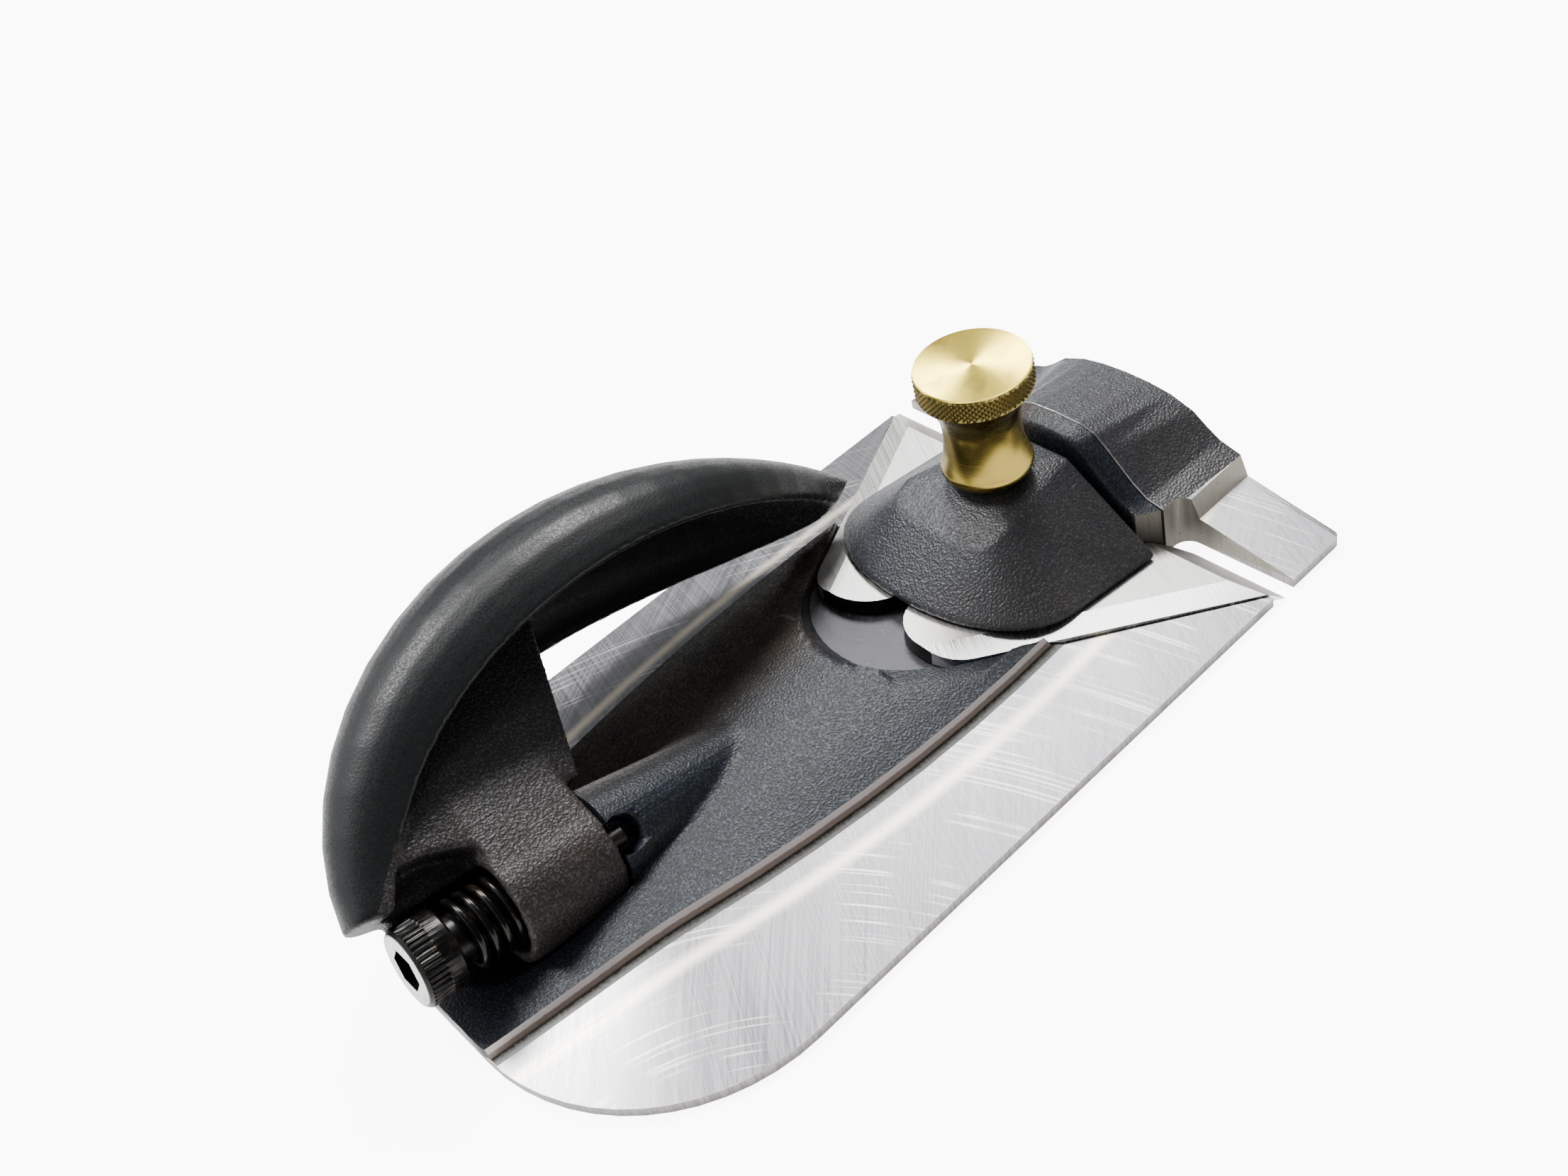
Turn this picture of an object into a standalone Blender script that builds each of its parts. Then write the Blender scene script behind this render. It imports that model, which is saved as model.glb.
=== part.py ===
# Side rebate plane: a cast body with two thin ground wings, two skewed blades under one lever cap,
# a bolted nose, and a palm handle that swings about an inclined screw against a spring.
# Sizes are in metres. X runs from the rear end to the nose, Y to the left and Z up from the sole.
# Lengths along X are measured from the rear end of the body.

import math

import bmesh
import bpy
from mathutils import Matrix, Vector

# Frame and fits
FRAME_X = 0.070
FIT_GAP = 0.0003
CUT_REACH = 0.040
ROUND_SIDES = 32

# Body plan and section
HALF_WIDTH = 0.0383
REAR_RADIUS = 0.0299
BODY_FRONT = 0.1204
RIM_HEIGHT = 0.0016
WING_SLOPE = math.radians(12)
STEP_HALF_WIDTH = 0.0215
STEP_WIDEST_X = 0.080
STEP_ARC_RADIUS = 0.2575
STEP_HEIGHT = 0.0022
STEP_LEAN = 0.0005
STEP_FILLET = 0.0010
SPINE_RISE = 0.0066
REAR_STATIONS = 14
SIDE_STATIONS = 10
WING_STRIPS = 3
ROOF_STRIPS = 6

# Blades and their bed
EDGE_X = 0.1226
BLADE_TIP_Y = 0.0387
BED_ANGLE = math.radians(8)
BLADE_SKEW = math.radians(30)
BLADE_WIDTH = 0.0156
BLADE_THICKNESS = 0.0024
BLADE_LENGTH = 0.0359
BLADE_BEVEL = math.radians(27.5)
BLADE_CORNER = 0.0020
SIDE_BEVEL_WIDTH = 0.0034
SIDE_BEVEL_DEPTH = 0.0010
BLADE_SIDE_GAP = 0.0004
BLADE_TRAVEL = 0.0020
BLADE_END_STEPS = 16
POCKET_REAR_X = 0.0698
POCKET_FLOOR_X = 0.0725
POCKET_WALL_HEIGHT = 0.0030

# Nose and the wall behind it
NOSE_FRONT = 0.1367
NOSE_MOUTH_X = 0.1251
NOSE_MOUTH_Y = 0.0192
NOSE_RELIEF_RADIUS = 0.0026
NOSE_CORNER_RADIUS = 0.0015
NOSE_STEP_Y = 0.0209
NOSE_FOOT_Y = 0.0221
BULKHEAD_REAR = 0.1170
HUMP_AT_JOINT = ((0.0200, 0.0083), (0.0162, 0.0094), (0.0138, 0.0112), (0.0095, 0.0156),
                 (0.0073, 0.0177), (0.0045, 0.0185))
HUMP_AT_FRONT = ((0.0209, 0.0086), (0.0172, 0.0098), (0.0150, 0.0113), (0.0125, 0.0133),
                 (0.0084, 0.0148), (0.0045, 0.0154))
HUMP_TOP_JOINT = 0.0187
HUMP_TOP_FRONT = 0.0156
NOSE_SCREW_Z = 0.0085
NOSE_SCREW_SHANK = 0.0021
NOSE_SCREW_HEAD = 0.0038
NOSE_SCREW_HEAD_LENGTH = 0.0042
NOSE_SCREW_GRIP = 0.0026
NOSE_SCREW_SINK = 0.0010
NOSE_SCREW_KEY_RADIUS = 0.0020
NOSE_SCREW_KEY_DEPTH = 0.0022

# Lever cap
CAP_FRONT = 0.1158
CAP_CENTRE_X = 0.099
CAP_HALF_WIDTH = 0.0212
CAP_REAR_LENGTH = 0.0144
CAP_TOP_FRONT_Y = 0.0068
CAP_TOP_HALF_WIDTH = 0.0103
CAP_TOP_REAR_LENGTH = 0.0062
CAP_TOP_Z = 0.0177
CAP_TOP_DROP = 15.9
CAP_FOOT_SQUARENESS = 2.2
CAP_TOP_SQUARENESS = 4.0
CAP_SKIRT = 0.0010
CAP_EDGE_ROUND = 0.0012
CAP_REAR_STEPS = 24
CAP_CROWN_RINGS = 4

# Lever cap knob
KNOB_X = 0.1058
KNOB_TOP_Z = 0.0373
KNOB_RIM_RADIUS = 0.0086
KNOB_RIM_HEIGHT = 0.0041
KNOB_NECK_RADIUS = 0.0059
KNOB_NECK_STEPS = 6
KNOB_FLARE = 0.0026
KNOB_BASE_RADIUS = 0.0068
KNOB_BASE_HEIGHT = 0.0010
KNOB_COLLAR_RADIUS = 0.0052
KNOB_COLLAR_HEIGHT = 0.0013
KNOB_STUD_RADIUS = 0.0030
KNOB_STUD_END_Z = 0.0012

# Pivot axis of the handle
PIVOT_X = -0.0013
PIVOT_Z = 0.0141
PIVOT_TILT = math.radians(10)
SCREW_HEAD_RADIUS = 0.00556
SCREW_HEAD_LENGTH = 0.0058
SCREW_SHOULDER_RADIUS = 0.0035
SCREW_THREAD_RADIUS = 0.0028
SCREW_LENGTH = 0.0445
SCREW_KEY_RADIUS = 0.0032
SCREW_KEY_DEPTH = 0.0032
HEAD_CHAMFER = 0.0004

# Handle
HANDLE_LEAN = math.radians(53)
BOSS_REAR = 0.0138
BOSS_FRONT = 0.0290
BOSS_RADIUS = 0.0079
TROUGH_GAP = 0.0004
RIDGE_RADIUS = 0.0082
RIDGE_END_RADIUS = 0.0050
RIDGE_LENGTH = 0.0275
RIDGE_FLOOR = 0.0010
CROWN_CURVE = ((-0.0041, 0.0077), (-0.0002, 0.0362), (0.0472, 0.0648), (0.0964, 0.0258))
EDGE_CURVE = ((-0.0013, 0.0071), (0.0114, 0.0304), (0.0431, 0.0417), (0.0947, 0.0252))
GRIP_REAR_HALF_WIDTH = 0.0042
GRIP_SWELL = 0.0147
GRIP_SWELL_POWER = 2.04
GRIP_TIP_POWER = 0.70
GRIP_BAND = 0.0032
GRIP_LIP = 0.0016
GRIP_CROWN_WALL = 0.0050
GRIP_TIP_SHARE = 0.996
GRIP_STATIONS = 24
GRIP_ARC_STEPS = 14
WEB_HALF_THICKNESS = 0.0028
WEB_ROOT_HALF_THICKNESS = 0.0049
WEB_SPAN = (0.14, 0.61)
WEB_STATIONS = 10
WEB_HEEL = ((0.0120, 0.0092), (0.0085, 0.0105), (0.0010, 0.0112))
SHROUD_REAR = 0.0013
SHROUD_TURN = math.radians(110)
WEB_FRONT_FOOT = 0.0312
WEB_SETBACK = 0.0006

# Detent pin and its notch
PIN_RADIUS = 0.00135
PIN_ORBIT = 0.0059
PIN_ANGLE = math.radians(-45)
PIN_REACH = 0.0018
PIN_SEAT = 0.0040
NOTCH_RADIUS = 0.0027
NOTCH_SHIFT = 0.0015

# Handle spring
SPRING_WIRE_RADIUS = 0.0006
SPRING_RADIUS = 0.0047
SPRING_TURNS = 5
SPRING_POINTS_PER_TURN = 10
COUNTERBORE_RADIUS = 0.0062
COUNTERBORE_DEPTH = 0.0040

# Colours as linear RGB
BLACK_ENAMEL = (0.010, 0.011, 0.013)
GROUND_STEEL = (0.52, 0.52, 0.51)
TOOL_STEEL = (0.62, 0.62, 0.61)
BRASS = (0.72, 0.50, 0.16)
BLACK_OXIDE = (0.014, 0.014, 0.014)


# Shared helpers

def make_material(name, colour, metallic, roughness):
    material = bpy.data.materials.new(name)
    material.use_nodes = True
    shader = material.node_tree.nodes["Principled BSDF"]
    shader.inputs["Base Color"].default_value = (*colour, 1)
    shader.inputs["Metallic"].default_value = metallic
    shader.inputs["Roughness"].default_value = roughness
    return material


def make_object(name, shape, parent, material=None):
    mesh = bpy.data.meshes.new(name)
    bmesh.ops.recalc_face_normals(shape, faces=shape.faces)
    shape.to_mesh(mesh)
    shape.free()
    item = bpy.data.objects.new(name, mesh)
    bpy.context.collection.objects.link(item)
    item.parent = parent
    if material:
        mesh.materials.append(material)
    else:
        item.hide_render = True
        item.display_type = "WIRE"
    return item


def make_empty(name, location, rotation, parent=None):
    empty = bpy.data.objects.new(name, None)
    bpy.context.collection.objects.link(empty)
    empty.location = location
    empty.rotation_euler = rotation
    empty.parent = parent
    return empty


def combine(item, other, operation):
    modifier = item.modifiers.new(other.name, "BOOLEAN")
    modifier.operation = operation
    modifier.solver = "EXACT"
    modifier.object = other


def cut(item, *cutters):
    for cutter in cutters:
        combine(item, cutter, "DIFFERENCE")


def join(item, *additions):
    for addition in additions:
        combine(item, addition, "UNION")


def smooth(item, angle=30):
    item.data.shade_smooth()
    item.data.set_sharp_from_angle(angle=math.radians(angle))


def loft(rings):
    shape = bmesh.new()
    loops = [[shape.verts.new(point) for point in ring] for ring in rings]
    for lower, upper in zip(loops, loops[1:]):
        for i in range(len(lower)):
            j = (i + 1) % len(lower)
            shape.faces.new((lower[i], lower[j], upper[j], upper[i]))
    shape.faces.new(loops[0])
    shape.faces.new(loops[-1])
    shape.normal_update()
    bmesh.ops.triangulate(shape, faces=shape.faces)
    return shape


def plan_prism(outline, bottom, top):
    # Upright prism over a plan outline; bottom and top give the height at x
    lower = [(x, y, bottom(x)) for x, y in outline]
    upper = [(x, y, top(x)) for x, y in outline]
    return loft((lower, upper))


def section_prism(outline, x_start, x_end):
    # Prism along X over an outline in Y and Z
    return loft([[(x, y, z) for y, z in outline] for x in (x_start, x_end)])


def revolve(profile, axis):
    # Closed solid from a profile of radius and height that starts and ends on the axis
    shape = bmesh.new()
    points = [shape.verts.new((radius, 0, height)) for radius, height in profile]
    edges = [shape.edges.new(pair) for pair in zip(points, points[1:])]
    bmesh.ops.spin(shape, geom=points + edges, axis=(0, 0, 1), cent=(0, 0, 0),
                   angle=math.tau, steps=ROUND_SIDES, use_merge=True)
    bmesh.ops.remove_doubles(shape, verts=shape.verts, dist=1e-6)
    if axis == "X":
        bmesh.ops.rotate(shape, verts=shape.verts, matrix=Matrix.Rotation(math.pi / 2, 3, "Y"))
    return shape


def rod(radius, start, end, axis="X"):
    return revolve(((0, start), (radius, start), (radius, end), (0, end)), axis)


def arc(centre, radius, start, end, steps):
    angles = [start + (end - start) * i / steps for i in range(steps + 1)]
    return [(centre[0] + radius * math.cos(a), centre[1] + radius * math.sin(a)) for a in angles]


def mirrored(half):
    # Full outline from its left half, given from the bottom outside to the top middle
    return [(-y, z) for y, z in half] + [(y, z) for y, z in reversed(half) if y > 0]


def bezier(points, share):
    weights = ((1 - share) ** 3, 3 * share * (1 - share) ** 2, 3 * share ** 2 * (1 - share), share ** 3)
    return sum((Vector(p) * w for p, w in zip(points, weights)), Vector((0, 0)))


def constant(height):
    return lambda x: height


# Body surfaces

def half_width_at(x):
    if x >= REAR_RADIUS:
        return HALF_WIDTH
    return HALF_WIDTH - REAR_RADIUS + math.sqrt(REAR_RADIUS ** 2 - (REAR_RADIUS - x) ** 2)


def rim_distance(x, y):
    flat = HALF_WIDTH - REAR_RADIUS
    if x >= REAR_RADIUS:
        return HALF_WIDTH - y
    if y <= flat:
        return x
    return REAR_RADIUS - math.hypot(REAR_RADIUS - x, y - flat)


def wing_height(x, y):
    return RIM_HEIGHT + math.tan(WING_SLOPE) * rim_distance(x, y)


def step_half_width(x):
    outline = STEP_HALF_WIDTH - (x - STEP_WIDEST_X) ** 2 / (2 * STEP_ARC_RADIUS)
    return min(outline, half_width_at(x) - FIT_GAP)


def spine_height(x):
    climb = math.tan(WING_SLOPE) * x
    return RIM_HEIGHT + STEP_HEIGHT + SPINE_RISE * math.tanh(climb / SPINE_RISE)


def bed_height(x):
    return (EDGE_X - x) * math.tan(BED_ANGLE)


def blade_top(x):
    return bed_height(x) + BLADE_THICKNESS / math.cos(BED_ANGLE)


def body_half_section(x):
    outer = half_width_at(x)
    step = step_half_width(x)
    room = (outer - step) / 2
    lean = min(STEP_LEAN, room)
    fillet = min(STEP_FILLET, room - lean / 2)
    foot = step + lean + fillet
    half = [(outer, 0)]
    for i in range(WING_STRIPS + 1):
        y = outer + (foot - outer) * i / WING_STRIPS
        half.append((y, wing_height(x, y)))
    half.append((step + lean, wing_height(x, step + lean) + fillet / 2))
    edge = wing_height(x, step) + STEP_HEIGHT
    for i in range(ROOF_STRIPS + 1):
        share = 1 - i / ROOF_STRIPS
        height = edge + (max(spine_height(x), edge) - edge) * (1 - share ** 2)
        half.append((step * share, height))
    return half


def body_shape():
    stations = [REAR_RADIUS * (1 - math.cos(math.pi / 2 * i / REAR_STATIONS)) for i in range(REAR_STATIONS)]
    run = BODY_FRONT - REAR_RADIUS
    stations += [REAR_RADIUS + run * i / SIDE_STATIONS for i in range(SIDE_STATIONS + 1)]
    return loft([[(x, y, z) for y, z in mirrored(body_half_section(x))] for x in stations])


def plan_slope():
    # Slope of the blade's sides seen from above; the skew is measured on the tilted bed
    return math.tan(BLADE_SKEW) / math.cos(BED_ANGLE)


def blade_line(x, inset):
    # Plan distance from the centre line to a line that lies inset from the blade's outer side
    return BLADE_TIP_Y - (EDGE_X - x) * plan_slope() - inset / math.cos(BLADE_SKEW)


def pocket_rim_height(x):
    return bed_height(x) + POCKET_WALL_HEIGHT


def blade_channel_outline(rear_x):
    front = NOSE_MOUTH_X
    outer = blade_line(front, -BLADE_SIDE_GAP)
    inner = blade_line(front, BLADE_WIDTH + BLADE_SIDE_GAP)
    apex_x = front - inner / plan_slope()
    cross_x = front - outer / plan_slope()
    skew = math.atan(plan_slope())
    radius = (rear_x - cross_x) * math.sin(skew) / (1 - math.sin(skew))
    centre = (rear_x + radius, 0)
    turn = math.pi / 2 + skew
    rear = arc(centre, radius, turn, math.tau - turn, BLADE_END_STEPS)
    return [(front, inner), (front, outer)] + rear + [(front, -outer), (front, -inner), (apex_x, 0)]


# Sub-parts

def make_body(frame, pivot, black):
    body = make_object("body", body_shape(), frame, black)
    hump = [(HUMP_AT_JOINT[0][0], RIM_HEIGHT)] + list(HUMP_AT_JOINT) + [(0, HUMP_TOP_JOINT)]
    wall = section_prism(mirrored(hump), BULKHEAD_REAR, BODY_FRONT)
    wall = make_object("bulkhead", wall, frame)
    join(body, wall, make_object("ridge", ridge_shape(BOSS_FRONT), pivot))

    floor = blade_channel_outline(POCKET_FLOOR_X)
    rim = blade_channel_outline(POCKET_REAR_X)
    levels = ((floor, bed_height), (rim, pocket_rim_height), (rim, constant(CUT_REACH)))
    channels = loft([[(x, y, height(x)) for x, y in outline] for outline, height in levels])
    channels = make_object("blade_channels", channels, frame)
    seat_rear = rim[-1][0]
    seat = [(seat_rear - BLADE_WIDTH, -HALF_WIDTH / 2), (BULKHEAD_REAR, -HALF_WIDTH / 2),
            (BULKHEAD_REAR, HALF_WIDTH / 2), (seat_rear - BLADE_WIDTH, HALF_WIDTH / 2)]
    seat = plan_prism(seat, lambda x: blade_top(x) - FIT_GAP, constant(CUT_REACH))
    seat = make_object("cap_seat", seat, frame)
    stud_hole = rod(KNOB_STUD_RADIUS + FIT_GAP, KNOB_STUD_END_Z - FIT_GAP, CUT_REACH, "Z")
    bmesh.ops.translate(stud_hole, verts=stud_hole.verts, vec=(KNOB_X, 0, 0))
    stud_hole = make_object("stud_hole", stud_hole, frame)

    trough_radius = BOSS_RADIUS + TROUGH_GAP
    trough = arc((0, 0), trough_radius, math.pi, math.tau, ROUND_SIDES // 2)
    trough = trough + [(trough_radius, CUT_REACH), (-trough_radius, CUT_REACH)]
    trough = section_prism(trough, -SCREW_HEAD_LENGTH, BOSS_FRONT + FIT_GAP)
    trough = make_object("boss_trough", trough, pivot)
    thread_hole = rod(SCREW_THREAD_RADIUS + FIT_GAP, BOSS_REAR, SCREW_LENGTH + FIT_GAP)
    thread_hole = make_object("pivot_thread_hole", thread_hole, pivot)
    cut(body, channels, seat, stud_hole, trough, thread_hole, notch_cutter(pivot), pin_track_cutter(pivot))
    nose_thread = rod(NOSE_SCREW_SHANK + FIT_GAP, BODY_FRONT - NOSE_SCREW_GRIP - FIT_GAP, NOSE_FRONT)
    bmesh.ops.translate(nose_thread, verts=nose_thread.verts, vec=(0, 0, NOSE_SCREW_Z))
    cut(body, make_object("nose_thread_hole", nose_thread, frame))
    smooth(body)
    return body


def ridge_shape(start):
    # Half-round ridge that narrows forward until it sinks into the body
    rings = []
    for x, radius in ((start, RIDGE_RADIUS), (start + RIDGE_LENGTH, RIDGE_END_RADIUS)):
        outline = arc((0, 0), radius, 0, math.pi, ROUND_SIDES // 2)
        outline = [(radius, -RIDGE_FLOOR)] + outline + [(-radius, -RIDGE_FLOOR)]
        rings.append([(x, y, z) for y, z in outline])
    return loft(rings)


def notch_cutter(pivot):
    # Round-ended slot in the rear face of the ridge, which takes the handle's pin
    slot = rod(NOTCH_RADIUS, PIN_ORBIT - PIN_RADIUS - 2 * FIT_GAP, CUT_REACH / 2, "Z")
    bmesh.ops.rotate(slot, verts=slot.verts, matrix=Matrix.Rotation(-PIN_ANGLE, 3, "X"))
    bmesh.ops.translate(slot, verts=slot.verts, vec=(BOSS_FRONT + NOTCH_SHIFT, 0, 0))
    return make_object("pin_notch", slot, pivot)


def pin_track_cutter(pivot):
    # Arc groove below the notch, which the pin passes as the handle swings over
    shape = bmesh.new()
    near = PIN_ORBIT - PIN_RADIUS - FIT_GAP
    far = PIN_ORBIT + PIN_RADIUS + FIT_GAP
    start = BOSS_FRONT
    end = BOSS_FRONT + PIN_REACH + FIT_GAP
    corners = [shape.verts.new((x, 0, r)) for x, r in ((start, near), (end, near), (end, far), (start, far))]
    face = shape.faces.new(corners)
    bmesh.ops.rotate(shape, verts=shape.verts, matrix=Matrix.Rotation(-PIN_ANGLE, 3, "X"))
    past = math.asin((PIN_RADIUS + FIT_GAP) / (PIN_ORBIT - PIN_RADIUS))
    bmesh.ops.spin(shape, geom=[face], axis=(1, 0, 0), cent=(0, 0, 0), angle=2 * HANDLE_LEAN + past,
                   steps=ROUND_SIDES // 2)
    return make_object("pin_track", shape, pivot)


def nose_section(x, half_width):
    # Low wings beside a hump that sinks from the joint to the front
    share = (x - BODY_FRONT) / (NOSE_FRONT - BODY_FRONT)
    hump = [Vector(a).lerp(b, share) for a, b in zip(HUMP_AT_JOINT, HUMP_AT_FRONT)]
    top = HUMP_TOP_JOINT + (HUMP_TOP_FRONT - HUMP_TOP_JOINT) * share
    half = [(half_width, 0), (half_width, RIM_HEIGHT), (NOSE_FOOT_Y, wing_height(x, NOSE_FOOT_Y)),
            (NOSE_STEP_Y, hump[0].y)]
    half += [tuple(point) for point in hump[1:]] + [(0, top)]
    return [(x, y, z) for y, z in mirrored(half)]


def make_nose(frame, steel):
    corner = (NOSE_FRONT - NOSE_CORNER_RADIUS, HALF_WIDTH - NOSE_CORNER_RADIUS)
    outline = arc(corner, NOSE_CORNER_RADIUS, math.pi / 2, 0, ROUND_SIDES // 8)
    rings = [nose_section(x, half_width) for x, half_width in [(BODY_FRONT + FIT_GAP, HALF_WIDTH)] + outline]
    nose = make_object("nose", loft(rings), frame, steel)
    smooth(nose)
    for side in (1, -1):
        centre = (NOSE_MOUTH_X - NOSE_RELIEF_RADIUS, NOSE_MOUTH_Y + NOSE_RELIEF_RADIUS)
        outline = arc(centre, NOSE_RELIEF_RADIUS, -math.pi / 2, 0, ROUND_SIDES // 4)
        outline += [(NOSE_MOUTH_X, HALF_WIDTH * 1.1), (BODY_FRONT - FIT_GAP, HALF_WIDTH * 1.1),
                    (BODY_FRONT - FIT_GAP, NOSE_MOUTH_Y)]
        outline = [(x, y * side) for x, y in outline]
        mouth = plan_prism(outline, constant(-CUT_REACH), constant(CUT_REACH))
        cut(nose, make_object(f"mouth_{side}", mouth, frame))
    head_seat = NOSE_FRONT - NOSE_SCREW_SINK - NOSE_SCREW_HEAD_LENGTH - FIT_GAP
    holes = (("nose_shank_hole", NOSE_SCREW_SHANK, 0), ("nose_head_hole", NOSE_SCREW_HEAD, head_seat))
    for name, radius, start in holes:
        hole = rod(radius + FIT_GAP, start, NOSE_FRONT + FIT_GAP)
        bmesh.ops.translate(hole, verts=hole.verts, vec=(0, 0, NOSE_SCREW_Z))
        cut(nose, make_object(name, hole, frame))
    return nose


def make_nose_screw(frame, steel):
    front = NOSE_FRONT - NOSE_SCREW_SINK
    seat = front - NOSE_SCREW_HEAD_LENGTH
    tip = BODY_FRONT - NOSE_SCREW_GRIP
    profile = [(0, tip), (NOSE_SCREW_SHANK, tip), (NOSE_SCREW_SHANK, seat), (NOSE_SCREW_HEAD, seat),
               (NOSE_SCREW_HEAD, front - HEAD_CHAMFER), (NOSE_SCREW_HEAD - HEAD_CHAMFER, front),
               (NOSE_SCREW_KEY_RADIUS, front), (NOSE_SCREW_KEY_RADIUS, front - NOSE_SCREW_KEY_DEPTH),
               (0, front - NOSE_SCREW_KEY_DEPTH)]
    screw = make_object("nose_screw", revolve(profile, "X"), frame, steel)
    screw.location.z = NOSE_SCREW_Z
    smooth(screw)
    return screw


def make_blade(side, name, bed, steel):
    # Skewed blade with a rounded rear end, drawn on the bed with its edge at x = 0
    centre_line = blade_line(EDGE_X, BLADE_WIDTH / 2)
    skew = Vector((math.cos(BLADE_SKEW), math.sin(BLADE_SKEW)))
    rear = Vector((-BLADE_LENGTH, centre_line - BLADE_LENGTH * math.tan(BLADE_SKEW)))
    turn = math.pi / 2 + BLADE_SKEW
    end = arc(rear, BLADE_WIDTH / 2, turn, turn + math.pi, BLADE_END_STEPS)
    inner = blade_line(EDGE_X, BLADE_WIDTH)
    outline = [(0, BLADE_TIP_Y)] + end
    outline += [(-BLADE_CORNER * skew.x, inner - BLADE_CORNER * skew.y), (0, inner + BLADE_CORNER)]
    outline = [(x, y * side) for x, y in outline]
    shape = plan_prism(outline, constant(0), constant(BLADE_THICKNESS))
    bevel_normal = Vector((math.sin(BLADE_BEVEL), 0, math.cos(BLADE_BEVEL)))
    trim(shape, Vector((0, 0, 0)), bevel_normal)
    outward = Vector((-skew.y, skew.x, 0))
    side_slope = math.atan2(SIDE_BEVEL_DEPTH, SIDE_BEVEL_WIDTH)
    side_normal = outward * math.sin(side_slope) + Vector((0, 0, math.cos(side_slope)))
    side_point = Vector((0, BLADE_TIP_Y, BLADE_THICKNESS - SIDE_BEVEL_DEPTH))
    flip = Vector((1, side, 1))
    trim(shape, side_point * flip, side_normal * flip)
    meeting = BLADE_TRAVEL * skew.y + FIT_GAP / 2
    trim(shape, Vector((0, meeting, 0)) * flip, Vector((0, -1, 0)) * flip)
    blade = make_object(name, shape, bed, steel)
    blade.location.z = FIT_GAP
    return blade


def trim(shape, point, normal):
    geometry = shape.verts[:] + shape.edges[:] + shape.faces[:]
    made = bmesh.ops.bisect_plane(shape, geom=geometry, plane_co=point, plane_no=normal, clear_outer=True)
    edges = [e for e in made["geom_cut"] if isinstance(e, bmesh.types.BMEdge)]
    if edges:
        bmesh.ops.contextual_create(shape, geom=edges)


def cap_ring(front_y, half_width, rear_length, squareness, height):
    # Outline of the cap at one level: a straight front, straight sides and a rounded rear end
    rear = []
    for i in range(CAP_REAR_STEPS + 1):
        angle = math.pi * i / CAP_REAR_STEPS
        back = math.sin(angle) ** (2 / squareness)
        across = math.copysign(abs(math.cos(angle)) ** (2 / squareness), -math.cos(angle))
        rear.append((CAP_CENTRE_X - rear_length * back, half_width * across))
    outline = [(CAP_FRONT, -front_y)] + rear + [(CAP_FRONT, front_y)]
    return [(x, y, height(x)) for x, y in outline]


def make_lever_cap(frame, black):
    def underside(x):
        return blade_top(x) + 2 * FIT_GAP

    def skirt(x):
        return underside(x) + CAP_SKIRT

    def crown(x):
        return CAP_TOP_Z - CAP_TOP_DROP * (x - KNOB_X) ** 2

    def shoulder(x):
        return crown(x) - CAP_EDGE_ROUND

    spread = CAP_EDGE_ROUND / 2
    rings = [cap_ring(CAP_HALF_WIDTH, CAP_HALF_WIDTH, CAP_REAR_LENGTH, CAP_FOOT_SQUARENESS, height)
             for height in (underside, skirt)]
    for grow, height in ((spread, shoulder), (-spread, crown)):
        rings.append(cap_ring(CAP_TOP_FRONT_Y + grow, CAP_TOP_HALF_WIDTH + grow, CAP_TOP_REAR_LENGTH + grow,
                              CAP_TOP_SQUARENESS, height))
    brim = rings[-1]
    for i in range(1, CAP_CROWN_RINGS):
        share = i / CAP_CROWN_RINGS
        inner = [(x + (KNOB_X - x) * share, y * (1 - share)) for x, y, z in brim]
        rings.append([(x, y, crown(x)) for x, y in inner])
    cap = make_object("lever_cap", loft(rings), frame, black)
    hole = rod(KNOB_STUD_RADIUS + FIT_GAP, 0, CUT_REACH, "Z")
    bmesh.ops.translate(hole, verts=hole.verts, vec=(KNOB_X, 0, 0))
    cut(cap, make_object("cap_hole", hole, frame))
    smooth(cap)
    return cap


def make_knob(frame, brass):
    foot = CAP_TOP_Z + FIT_GAP
    base = foot + KNOB_COLLAR_HEIGHT
    rim = KNOB_TOP_Z - KNOB_RIM_HEIGHT
    neck = base + KNOB_BASE_HEIGHT
    profile = [(0, KNOB_STUD_END_Z), (KNOB_STUD_RADIUS, KNOB_STUD_END_Z), (KNOB_STUD_RADIUS, foot),
               (KNOB_COLLAR_RADIUS, foot), (KNOB_COLLAR_RADIUS, base), (KNOB_BASE_RADIUS - FIT_GAP, base)]
    throat = rim - KNOB_FLARE
    waist = KNOB_BASE_RADIUS - KNOB_NECK_RADIUS
    for i in range(KNOB_NECK_STEPS + 1):
        share = i / KNOB_NECK_STEPS
        radius = KNOB_BASE_RADIUS - waist * math.sin(math.pi / 2 * share)
        profile.append((radius, neck + (throat - neck) * share))
    flare = KNOB_RIM_RADIUS - FIT_GAP - KNOB_NECK_RADIUS
    for i in range(1, KNOB_NECK_STEPS + 1):
        angle = math.pi / 2 * i / KNOB_NECK_STEPS
        radius = KNOB_NECK_RADIUS + flare * (1 - math.cos(angle))
        profile.append((radius, throat + KNOB_FLARE * math.sin(angle)))
    profile += [(KNOB_RIM_RADIUS, rim + FIT_GAP), (KNOB_RIM_RADIUS, KNOB_TOP_Z - FIT_GAP),
                (KNOB_RIM_RADIUS - FIT_GAP, KNOB_TOP_Z), (0, KNOB_TOP_Z)]
    knob = make_object("cap_knob", revolve(profile, "Z"), frame, brass)
    knob.location.x = KNOB_X
    smooth(knob)
    return knob


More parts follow.
